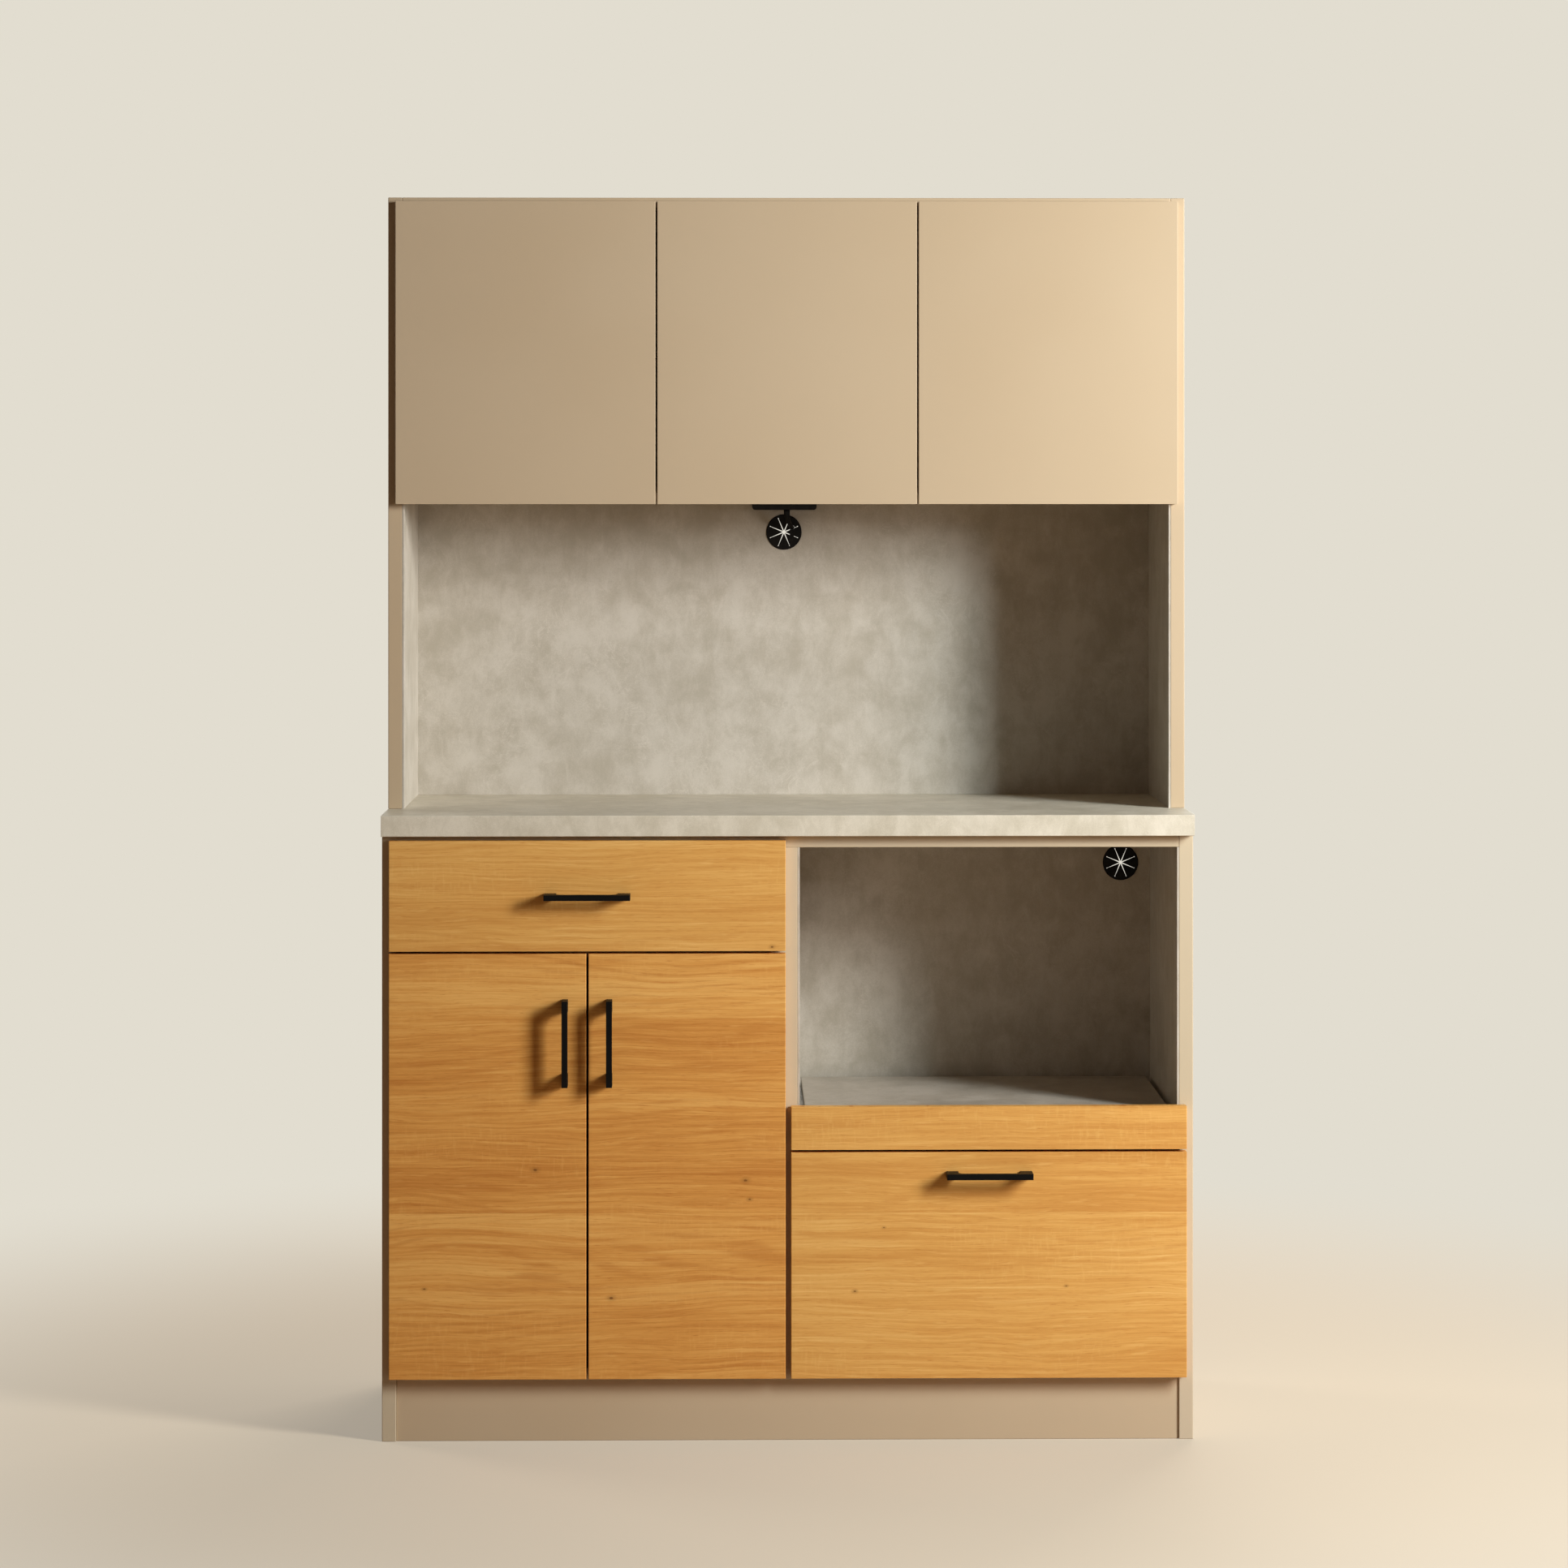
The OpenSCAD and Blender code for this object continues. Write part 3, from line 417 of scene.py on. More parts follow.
class Fibre(Enum):
    """Marks of oak: how many a metre along and across the grain, and their finer octaves."""

    WIDE_BEND = (2.4, 7.0, 2.0)
    SMALL_BEND = (7.0, 26.0, 2.0)
    BAND = (1.1, 15.0, 3.0)
    STREAK = (3.0, 165.0, 4.0)
    FINE = (8.0, 480.0, 4.0)
    FLECK = (20.0, 250.0, 2.0)
    RAY = (210.0, 45.0, 2.0)
    RAY_PATCH = (3.0, 12.0, 1.0)
    PORE = (55.0, 1500.0, 1.0)
    OVAL = (1.3, 5.5, 1.0)
    LINE_BREAK = (9.0, 160.0, 2.0)
    LINE_PATCH = (1.8, 8.0, 1.0)


class OakFigure(ShaderEffect):
    """Oak with its grain along X: planks, streaks, growth rings, fibres and pores."""

    title = "oak_figure"
    inlets = (
        VECTOR_PORT,
        Port("Pale", "NodeSocketColor"),
        Port("Mid", "NodeSocketColor"),
        Port("Dark", "NodeSocketColor"),
    )
    roughness = (0.58, 0.48)
    fibre_rough: ClassVar[float] = 0.6
    plank_height: ClassVar[float] = 0.382
    plank_joint: ClassVar[float] = 0.340
    plank_shift: ClassVar[float] = 0.9
    wide_bend: ClassVar[float] = 0.040
    small_bend: ClassVar[float] = 0.0030
    weights: ClassVar[tuple[float, ...]] = (0.38, 0.30, 0.32)
    plank_rise: ClassVar[Span] = (0.3, 1.0)
    plank_drift: ClassVar[Span] = (-0.025, 0.045)
    dark_to_mid: ClassVar[Span] = (0.34, 0.535)
    mid_to_pale: ClassVar[Span] = (0.475, 0.69)
    flecks: ClassVar[Span] = (0.58, 0.74)
    fleck_tint: ClassVar[Span] = (0.0, 0.35)
    rays: ClassVar[Span] = (0.50, 0.75)
    ray_tint: ClassVar[Span] = (0.0, 0.20)
    ray_patches: ClassVar[Span] = (0.48, 0.62)
    pores: ClassVar[Span] = (0.60, 0.74)
    pore_tint: ClassVar[float] = 0.38
    line_pitch: ClassVar[float] = 430.0
    line_swell: ClassVar[float] = 110.0
    line_sharpness: ClassVar[float] = 3.0
    line_patches: ClassVar[Span] = (0.38, 0.62)
    line_tint: ClassVar[Span] = (0.10, 0.55)

    @classmethod
    def wire(cls, wiring: Wiring, inlet: dict[str, Feed]) -> dict[str, Feed]:
        """Adds the wood's figure from the widest features to the finest.

        Args:
            wiring: The group's own wiring.
            inlet: The group's input sockets by name.

        Returns:
            The colour, the roughness and the height.
        """
        vector, pale, mid, dark = (inlet[port.name] for port in cls.inlets)
        planks = wiring.calc("SUBTRACT", wiring.take_z(vector), cls.plank_joint)
        planks = wiring.calc("DIVIDE", planks, cls.plank_height)
        lot = wiring.add("ShaderNodeTexWhiteNoise", noise_dimensions="1D")
        wiring.feed(lot.inputs["W"], wiring.calc("FLOOR", planks))
        bent = wiring.shift_z(vector, wiring.weigh(
            (cls.fibre(wiring, vector, Fibre.WIDE_BEND), cls.wide_bend),
            (cls.fibre(wiring, vector, Fibre.SMALL_BEND), cls.small_bend),
            (lot.outputs["Value"], cls.plank_shift),
        ))
        grain = [cls.fibre(wiring, bent, kind) for kind in (Fibre.BAND, Fibre.STREAK, Fibre.FINE)]
        drift = wiring.remap(wiring.calc("FRACT", planks), cls.plank_rise, cls.plank_drift)
        share = wiring.calc("ADD", wiring.weigh(*zip(grain, cls.weights)), drift)
        wood = wiring.tint(wiring.remap(share, cls.dark_to_mid), dark, mid)
        wood = wiring.tint(wiring.remap(share, cls.mid_to_pale), wood, pale)
        wood = wiring.tint(cls.growth_lines(wiring, vector, bent), wood, dark)
        flecks = wiring.remap(cls.fibre(wiring, bent, Fibre.FLECK), cls.flecks, cls.fleck_tint)
        wood = wiring.tint(flecks, wood, pale)
        rays = wiring.remap(cls.fibre(wiring, vector, Fibre.RAY), cls.rays, cls.ray_tint)
        patches = wiring.remap(cls.fibre(wiring, bent, Fibre.RAY_PATCH), cls.ray_patches)
        wood = wiring.tint(wiring.calc("MULTIPLY", rays, patches), wood, pale)
        pores = wiring.remap(cls.fibre(wiring, bent, Fibre.PORE), cls.pores)
        return {
            "Colour": wiring.tint(wiring.calc("MULTIPLY", pores, cls.pore_tint), wood, dark, "MULTIPLY"),
            "Roughness": wiring.remap(grain[-1], WIDE_SPAN, cls.roughness),
            "Height": wiring.calc("SUBTRACT", grain[-1], pores),
        }

    @classmethod
    def fibre(cls, wiring: Wiring, vector: Feed, kind: Fibre) -> bpy.types.NodeSocket:
        """Adds noise drawn out along the grain.

        Args:
            wiring: The group's own wiring.
            vector: The texture vector.
            kind: Which marks the noise makes.

        Returns:
            The noise's output.
        """
        along, across, detail = kind.value
        drawn = wiring.stretch(vector, (along, 1.0, across))
        return wiring.noise(drawn, Pattern(detail=detail, rough=cls.fibre_rough))

    @classmethod
    def growth_lines(cls, wiring: Wiring, vector: Feed, bent: Feed) -> bpy.types.NodeSocket:
        """Adds thin lines that close into long ovals here and there.

        Args:
            wiring: The group's own wiring.
            vector: The texture vector.
            bent: The texture vector as the grain bends it.

        Returns:
            The output of the lines' weight.
        """
        phase = wiring.weigh(
            (wiring.take_z(bent), cls.line_pitch), (cls.fibre(wiring, bent, Fibre.OVAL), cls.line_swell)
        )
        waves = wiring.remap(wiring.calc("SINE", phase), (-1.0, 1.0))
        lines = wiring.calc("POWER", waves, cls.line_sharpness)
        breaks = wiring.remap(cls.fibre(wiring, bent, Fibre.LINE_BREAK), NARROW_SPAN)
        weight = wiring.remap(cls.fibre(wiring, vector, Fibre.LINE_PATCH), cls.line_patches, cls.line_tint)
        return wiring.calc("MULTIPLY", wiring.calc("MULTIPLY", lines, breaks), weight)


class KnotMark(ShaderEffect):
    """A small dark knot with a faint halo, at one place on an upright face."""

    title = "knot_mark"
    inlets = (
        VECTOR_PORT,
        Port("Base", "NodeSocketColor"),
        Port("Knot", "NodeSocketColor"),
        Port("Centre", "NodeSocketVector"),
        Port("Radius"),
    )
    outlets = (Port("Colour", "NodeSocketColor"),)
    outline: ClassVar[Triple] = (0.62, 0.0, 1.0)
    edge: ClassVar[Pattern] = Pattern(260.0)
    raggedness: ClassVar[float] = 0.7
    halo: ClassVar[Span] = (0.8, 4.2)
    halo_tint: ClassVar[Span] = (0.30, 0.0)
    heart: ClassVar[Span] = (0.9, 1.5)
    heart_tint: ClassVar[Span] = (0.70, 0.0)

    @classmethod
    def wire(cls, wiring: Wiring, inlet: dict[str, Feed]) -> dict[str, Feed]:
        """Darkens the base colour by the distance from the centre, in radii.

        Args:
            wiring: The group's own wiring.
            inlet: The group's input sockets by name.

        Returns:
            The colour.
        """
        offset = wiring.stretch(wiring.vector_calc("SUBTRACT", inlet["Vector"], inlet["Centre"]), cls.outline)
        distance = wiring.calc("DIVIDE", wiring.vector_calc("LENGTH", offset), inlet["Radius"])
        ragged = wiring.calc("MULTIPLY", wiring.noise(inlet["Vector"], cls.edge), cls.raggedness)
        distance = wiring.calc("ADD", distance, ragged)
        colour = wiring.tint(wiring.remap(distance, cls.halo, cls.halo_tint), inlet["Base"], inlet["Knot"])
        heart = wiring.remap(distance, cls.heart, cls.heart_tint)
        return {"Colour": wiring.tint(heart, colour, inlet["Knot"])}


class StraightGrain(ShaderEffect):
    """Plain straight-grained wood, with its grain along Y."""

    title = "straight_grain"
    inlets = (VECTOR_PORT, Port("Pale", "NodeSocketColor"), Port("Dark", "NodeSocketColor"))
    roughness = (0.62, 0.52)
    bands: ClassVar[Pattern] = Pattern(1.0, 3.0, 0.55, 0.4)
    band_scale: ClassVar[Triple] = (26.0, 1.4, 26.0)
    fibres: ClassVar[Pattern] = Pattern(1.0, 2.0)
    fibre_scale: ClassVar[Triple] = (420.0, 9.0, 420.0)
    weights: ClassVar[tuple[float, ...]] = (0.6, 0.4)

    @classmethod
    def wire(cls, wiring: Wiring, inlet: dict[str, Feed]) -> dict[str, Feed]:
        """Adds broad bands and fine fibres.

        Args:
            wiring: The group's own wiring.
            inlet: The group's input sockets by name.

        Returns:
            The colour, the roughness and the height.
        """
        bands = wiring.noise(wiring.stretch(inlet["Vector"], cls.band_scale), cls.bands)
        fibres = wiring.noise(wiring.stretch(inlet["Vector"], cls.fibre_scale), cls.fibres)
        share = wiring.weigh(*zip((bands, fibres), cls.weights))
        return {
            "Colour": wiring.tint(wiring.remap(share, NARROW_SPAN), inlet["Dark"], inlet["Pale"]),
            "Roughness": wiring.remap(fibres, WIDE_SPAN, cls.roughness),
            "Height": fibres,
        }


class FoilEmboss(ShaderEffect):
    """The faint emboss and drift of tone of a plain furniture foil."""

    title = "foil_emboss"
    inlets = (VECTOR_PORT, Port("Tone", "NodeSocketColor"), Port("Shade", "NodeSocketColor"))
    roughness = (0.44, 0.36)
    drift: ClassVar[Pattern] = Pattern(2.2, 2.0)
    emboss: ClassVar[Pattern] = Pattern(950.0, 2.0, 0.6)

    @classmethod
    def wire(cls, wiring: Wiring, inlet: dict[str, Feed]) -> dict[str, Feed]:
        """Adds a slow drift of tone and a fine emboss.

        Args:
            wiring: The group's own wiring.
            inlet: The group's input sockets by name.

        Returns:
            The colour, the roughness and the height.
        """
        drift = wiring.noise(inlet["Vector"], cls.drift)
        emboss = wiring.noise(inlet["Vector"], cls.emboss)
        return {
            "Colour": wiring.tint(wiring.remap(drift, NARROW_SPAN), inlet["Shade"], inlet["Tone"]),
            "Roughness": wiring.remap(emboss, WIDE_SPAN, cls.roughness),
            "Height": emboss,
        }


class MouldedSkin(ShaderEffect):
    """The fine grain of a moulded or powder-coated skin."""

    title = "moulded_skin"
    inlets = (VECTOR_PORT, Port("Tone", "NodeSocketColor"), Port("Shade", "NodeSocketColor"), Port("Grain"))
    roughness = (0.50, 0.40)
    grain_rough: ClassVar[float] = 0.6
    smears: ClassVar[Pattern] = Pattern(60.0, 3.0)

    @classmethod
    def wire(cls, wiring: Wiring, inlet: dict[str, Feed]) -> dict[str, Feed]:
        """Adds a fine grain, with a little change of tone and gloss.

        Args:
            wiring: The group's own wiring.
            inlet: The group's input sockets by name.

        Returns:
            The colour, the roughness and the height.
        """
        smears = wiring.noise(inlet["Vector"], cls.smears)
        return {
            "Colour": wiring.tint(wiring.remap(smears, WIDE_SPAN), inlet["Shade"], inlet["Tone"]),
            "Roughness": wiring.remap(smears, WIDE_SPAN, cls.roughness),
            "Height": wiring.noise(inlet["Vector"], Pattern(inlet["Grain"], rough=cls.grain_rough)),
        }


class RolledSheet(ShaderEffect):
    """Drawn marks along Y and spangle of plated sheet steel."""

    title = "rolled_sheet"
    inlets = (VECTOR_PORT, Port("Tone", "NodeSocketColor"), Port("Shade", "NodeSocketColor"))
    roughness = (0.24, 0.40)
    marks: ClassVar[Pattern] = Pattern(1.0, 2.0)
    mark_scale: ClassVar[Triple] = (900.0, 12.0, 900.0)
    patches: ClassVar[Pattern] = Pattern(90.0, 3.0)

    @classmethod
    def wire(cls, wiring: Wiring, inlet: dict[str, Feed]) -> dict[str, Feed]:
        """Adds drawn marks and patches of plating.

        Args:
            wiring: The group's own wiring.
            inlet: The group's input sockets by name.

        Returns:
            The colour, the roughness and the height.
        """
        marks = wiring.noise(wiring.stretch(inlet["Vector"], cls.mark_scale), cls.marks)
        patches = wiring.noise(inlet["Vector"], cls.patches)
        return {
            "Colour": wiring.tint(wiring.remap(patches, NARROW_SPAN), inlet["Shade"], inlet["Tone"]),
            "Roughness": wiring.remap(marks, WIDE_SPAN, cls.roughness),
            "Height": marks,
        }


@dataclass(frozen=True)
class Finish:
    """What a surface is finished with; each kind of finish is built once."""

    title: str
    slot: str
    relief: float = 0.02
    relief_depth: float = 0.1 * MM
    specular: float = 0.5
    metallic: float = 0.0

    built: ClassVar[dict[str, bpy.types.Material]] = {}

    def effect(self, wiring: Wiring, vector: Feed) -> dict[str, Feed]:
        """Adds the finish's own effect.

        Args:
            wiring: The material's wiring.
            vector: The texture vector.

        Returns:
            The colour, the roughness and the height.
        """
        raise NotImplementedError

    def material(self) -> bpy.types.Material:
        """Gives the finish's material, and builds it the first time.

        Returns:
            The material.
        """
        if self.title not in self.built:
            made = bpy.data.materials.new(self.title)
            made.use_nodes = True
            wiring = Wiring(made.node_tree)
            parts = self.effect(wiring, wiring.add("ShaderNodeTexCoord").outputs["Object"])
            bump = wiring.add("ShaderNodeBump")
            wiring.supply(bump, {
                "Strength": self.relief, "Distance": self.relief_depth, "Height": parts["Height"],
            })
            wiring.supply(made.node_tree.nodes["Principled BSDF"], {
                "Base Color": parts["Colour"],
                "Roughness": parts["Roughness"],
                "Normal": bump.outputs["Normal"],
                "Specular IOR Level": self.specular,
                "Metallic": self.metallic,
            })
            self.built[self.title] = made
        return self.built[self.title]


@dataclass(frozen=True)
class TwoTone(Finish):
    """A finish that one shared effect makes from two tones, and for a skin its grain."""

    kind: type[ShaderEffect] = FoilEmboss
    tone: Colour = paint(200, 200, 200)
    shade: Colour = paint(190, 190, 190)
    grain: float = 0.0

    def effect(self, wiring: Wiring, vector: Feed) -> dict[str, Feed]:
        """Places the effect with this finish's tones.

        Args:
            wiring: The material's wiring.
            vector: The texture vector.

        Returns:
            The colour, the roughness and the height.
        """
        names = [port.name for port in self.kind.inlets]
        node = wiring.effect(self.kind, **dict(zip(names, (vector, self.tone, self.shade, self.grain))))
        return {port.name: node.outputs[port.name] for port in SURFACE_PORTS}


@dataclass(frozen=True)
class OakFoil(Finish):
    """Oak-look foil with small knots at chosen places, each given by X, Z and radius."""

    pale: Colour = paint(236, 184, 106)
    mid: Colour = paint(217, 155, 79)
    dark: Colour = paint(191, 124, 57)
    knot: Colour = paint(104, 60, 26)
    knots: tuple[Triple, ...] = ()

    def effect(self, wiring: Wiring, vector: Feed) -> dict[str, Feed]:
        """Places the wood's figure and then each knot over it.

        Args:
            wiring: The material's wiring.
            vector: The texture vector.

        Returns:
            The colour, the roughness and the height.
        """
        figure = wiring.effect(OakFigure, Vector=vector, Pale=self.pale, Mid=self.mid, Dark=self.dark)
        parts = {port.name: figure.outputs[port.name] for port in SURFACE_PORTS}
        for x, z, radius in self.knots:
            mark = wiring.effect(
                KnotMark, Vector=vector, Base=parts["Colour"], Knot=self.knot, Centre=(x, 0.0, z), Radius=radius
            )
            parts["Colour"] = mark.outputs["Colour"]
        return parts


DOOR_KNOTS = (
    (-0.373, 0.404, 0.0019), (-0.063, 0.388, 0.0019), (-0.057, 0.360, 0.0013), (-0.261, 0.215, 0.0019),
    (-0.536, 0.229, 0.0012),
)
DRAWER_KNOTS = (
    (-0.024, 0.732, 0.0014), (0.098, 0.224, 0.0013), (0.141, 0.318, 0.0009), (0.410, 0.231, 0.0010),
)

GREIGE = TwoTone(
    "greige_foil", "greige_board", kind=FoilEmboss, relief=0.05, specular=0.12,
    tone=paint(197, 177, 149), shade=paint(194, 173, 144),
)
PALE_GREIGE = TwoTone(
    "pale_greige_foil", "greige_board", kind=FoilEmboss, relief=0.05, specular=0.12,
    tone=paint(202, 187, 163), shade=paint(199, 184, 158),
)
STONE = TwoTone(
    "stone_foil", "stone_look_board", kind=StoneCloud, relief=0.06, specular=0.10,
    tone=paint(202, 195, 184), shade=paint(177, 169, 155),
)
# A paler copy of the stone foil for the worktop: painted light, standing in for the stronger light on its top
# face and front edge.
LIT_WORKTOP_STONE = TwoTone(
    "worktop_foil_painted_light", "stone_look_board", kind=StoneCloud, relief=0.06, specular=0.35,
    tone=paint(223, 216, 200), shade=paint(197, 189, 170),
)
# A darker copy of the stone foil for the pull-out plate: painted shade, standing in for the shade that falls
# under the worktop.
SHADED_PLATE_STONE = TwoTone(
    "plate_foil_painted_shade", "stone_look_board", kind=StoneCloud, relief=0.06, specular=0.30,
    tone=paint(186, 178, 167), shade=paint(160, 151, 138),
)
HARDBOARD = TwoTone(
    "back_hardboard", "greige_board", kind=StoneCloud, relief=0.15, specular=0.3,
    tone=paint(170, 136, 98), shade=paint(148, 114, 78),
)
OAK_AMBER = OakFoil("oak_foil_amber", "oak_front", relief=0.10, specular=0.12, knots=DOOR_KNOTS)
OAK_HONEY = OakFoil(
    "oak_foil_honey", "oak_front", relief=0.10, specular=0.12, knots=DRAWER_KNOTS,
    pale=paint(240, 196, 121), mid=paint(222, 168, 92), dark=paint(206, 147, 75),
)
DRAWER_WOOD = TwoTone(
    "drawer_wood", "drawer_wood", kind=StraightGrain, relief=0.08,
    tone=paint(226, 208, 176), shade=paint(202, 178, 142),
)
BLACK_COAT = TwoTone(
    "black_powder_coat", "black_metal", kind=MouldedSkin, relief=0.10, specular=0.06,
    tone=paint(16, 14, 13), shade=paint(11, 10, 9), grain=1400.0,
)
RUBBER = TwoTone(
    "black_rubber", "black_rubber", kind=MouldedSkin, relief=0.12, specular=0.08,
    tone=paint(24, 21, 19), shade=paint(16, 14, 13), grain=2200.0,
)
PLASTIC = TwoTone(
    "black_plastic", "black_plastic", kind=MouldedSkin, relief=0.10, specular=0.15,
    tone=paint(36, 34, 33), shade=paint(27, 25, 25), grain=1800.0,
)
ZINC = TwoTone(
    "zinc_steel", "zinc_steel", kind=RolledSheet, relief=0.05, metallic=1.0,
    tone=paint(196, 199, 204), shade=paint(170, 174, 180),
)
NICKEL = TwoTone(
    "nickel_steel", "hinge_steel", kind=RolledSheet, relief=0.03, metallic=1.0,
    tone=paint(214, 211, 204), shade=paint(192, 188, 180),
)


def link(name: str, mesh: bpy.types.Mesh) -> bpy.types.Object:
    """Puts a mesh into the scene as an object.

    Args:
        name: The object's name.
        mesh: Its mesh.

    Returns:
        The object.
    """
    piece = bpy.data.objects.new(name, mesh)
    bpy.context.scene.collection.objects.link(piece)
    return piece


def mesh_from(name: str, work: bmesh.types.BMesh) -> bpy.types.Mesh:
    """Turns worked geometry into a mesh and frees it.

    Args:
        name: The mesh's name.
        work: The geometry.

    Returns:
        The mesh, with its faces' normals outwards.
    """
    bmesh.ops.recalc_face_normals(work, faces=work.faces)
    mesh = bpy.data.meshes.new(name)
    work.to_mesh(mesh)
    work.free()
    return mesh


def join_rings(work: bmesh.types.BMesh, rings: Sequence[Sequence[bmesh.types.BMVert]]) -> None:
    """Joins each closed ring of vertices to the next with four-sided faces.

    Args:
        work: The geometry that takes the faces.
        rings: The rings in order, all with the same number of vertices.
    """
    for first, second in zip(rings, rings[1:]):
        for step, vert in enumerate(first):
            following = (step + 1) % len(first)
            work.faces.new((vert, first[following], second[following], second[step]))


def settle(piece: bpy.types.Object, body: str, finish: Finish, nodes: Sequence[str] = ()) -> bpy.types.Object:
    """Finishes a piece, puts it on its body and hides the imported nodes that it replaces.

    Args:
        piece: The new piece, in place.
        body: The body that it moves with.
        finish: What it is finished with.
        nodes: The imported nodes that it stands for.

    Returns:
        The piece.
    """
    if not piece.data.materials:
        piece.data.materials.append(finish.material())
    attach(piece, body)
    if nodes:
        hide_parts(*nodes)
    LOG.info("piece %s on %s in %s", piece.name, body, finish.title)
    return piece


def make_piece(
    name: str, work: bmesh.types.BMesh, body: str, finish: Finish,
    nodes: Sequence[str] = (), smooth: bool = False,
) -> bpy.types.Object:
    """Makes a settled piece from worked geometry.

    Args:
        name: The piece's name.
        work: The geometry, which is freed.
        body: The body that it moves with.
        finish: What it is finished with.
        nodes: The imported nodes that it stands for.
        smooth: Whether its faces are shaded as one round surface.

    Returns:
        The piece.
    """
    piece = link(name, mesh_from(name, work))
    if smooth:
        piece.data.shade_smooth()
    return settle(piece, body, finish, nodes)


def dress(node: str, finish: Finish) -> None:
    """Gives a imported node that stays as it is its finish.

    Args:
        node: The node's name.
        finish: What it is finished with.
    """
    mesh = frame["nodes"][node].data
    mesh.materials.clear()
    mesh.materials.append(finish.material())
    LOG.info("node %s in %s", node, finish.title)


def body_of(node: str) -> str:
    """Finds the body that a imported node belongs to.

    Args:
        node: The node's name.

    Returns:
        The body's name.
    """
    bodies = frame["record"]["behaviour"]["bodies"]
    return next(name for name, members in bodies.items() if node in members)


class Ease(Enum):
    """How far a board's sharp edges are eased."""

    BANDED = 1.0 * MM
    THIN = 0.3 * MM
    SOFT = 0.5 * MM


@dataclass
class Panel:
    """A board with eased edges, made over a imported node."""

    node: str
    finish: Finish
    ease: Ease = Ease.BANDED
    rear: Finish | None = None
    weld: float = 0.001 * MM
    flat_angle: float = math.radians(0.5)
    sharp_angle: float = math.radians(40)
    least_edge: float = 6 * MM
    segments: int = 2
    roundness: float = 0.5
    rear_facing: float = 0.9

    def eased_mesh(self) -> bpy.types.Mesh:
        """Copies the node's mesh and rounds its long sharp edges.

        Returns:
            The new mesh.
        """
        work = bmesh.new()
        work.from_mesh(frame["nodes"][self.node].data)
        bmesh.ops.remove_doubles(work, verts=work.verts, dist=self.weld)
        bmesh.ops.dissolve_limit(work, angle_limit=self.flat_angle, verts=work.verts, edges=work.edges)
        sharp = [
            edge for edge in work.edges
            if edge.is_manifold
            and edge.calc_face_angle() > self.sharp_angle
            and edge.calc_length() > self.least_edge
        ]
        bmesh.ops.bevel(
            work, geom=sharp, offset=self.ease.value, segments=self.segments, profile=self.roundness,
            affect="EDGES", clamp_overlap=False,
        )
        return mesh_from(self.node + "_eased", work)

    def build(self) -> bpy.types.Object:
        """Builds, finishes and settles the board.

        Returns:
            The finished piece, which replaces its node.
        """
        mesh = self.eased_mesh()
        mesh.materials.append(self.finish.material())
        if self.rear is not None:
            mesh.materials.append(self.rear.material())
            for face in mesh.polygons:
                face.material_index = int(face.normal.y > self.rear_facing)
        return settle(link(self.node + "_panel", mesh), body_of(self.node), self.finish, [self.node])


@dataclass
class Carcase:
    """Side panels, boards, linings, backs, shelves and the worktop."""

    lower: tuple[str, ...] = (
        "lower_side_left", "lower_side_right", "centre_divider", "bottom_board", "lower_top_board",
    )
    greige: tuple[str, ...] = (
        "plinth_boards", "drawer_floor_board", "adjustable_shelves", "upper_side_left", "upper_side_right",
        "upper_bottom_board", "upper_top_board", "upper_partition",
    )
    linings: tuple[str, ...] = ("appliance_linings", "hutch_linings")
    backs: tuple[tuple[str, Finish], ...] = (
        ("hutch_back_board", STONE), ("lower_back_board", STONE), ("upper_back_board", GREIGE),
    )

    def build(self) -> None:
        """Builds every fixed board and the pull-out plate."""
        for node in self.lower:
            Panel(node, PALE_GREIGE).build()
        for node in self.greige:
            Panel(node, GREIGE).build()
        for node in self.linings:
            Panel(node, STONE, Ease.THIN).build()
        # The worktop's finish is paler with painted light.
        Panel("worktop", LIT_WORKTOP_STONE).build()
        # The pull-out plate's finish is darker with painted shade.
        Panel("pull_out_plate", SHADED_PLATE_STONE).build()
        for node, finish in self.backs:
            Panel(node, finish, Ease.THIN, rear=HARDBOARD).build()


@dataclass
class Fronts:
    """Doors, drawer fronts and the pull-out shelf's strip, with their handles."""

    upper: tuple[str, ...] = ("upper_door_left", "upper_door_middle", "upper_door_right")
    lower: tuple[str, ...] = ("lower_door_left", "lower_door_right")
    drawers: tuple[str, ...] = ("drawer_front", "deep_drawer_front", "pull_out_strip")
    handles: tuple[str, ...] = (
        "lower_door_left_handle", "lower_door_right_handle", "drawer_handle", "deep_drawer_handle",
    )

    def build(self) -> None:
        """Builds the fronts and the handles."""
        for node in self.upper:
            Panel(node, GREIGE).build()
        for node in self.lower:
            Panel(node, OAK_AMBER).build()
        for node in self.drawers:
            Panel(node, OAK_HONEY).build()
        for node in self.handles:
            Panel(node, BLACK_COAT, Ease.SOFT, least_edge=3 * MM).build()


@dataclass
class DrawerBoxes:
    """Drawer sides, ends, bottoms and the battens of the pull-out shelf."""

    nodes: tuple[str, ...] = (
        "drawer_sides", "drawer_ends", "drawer_bottom", "deep_drawer_sides", "deep_drawer_ends",
        "deep_drawer_bottom", "pull_out_battens",
    )

    def build(self) -> None:
        """Builds the boxes' boards."""
        for node in self.nodes:
            Panel(node, DRAWER_WOOD, Ease.SOFT).build()


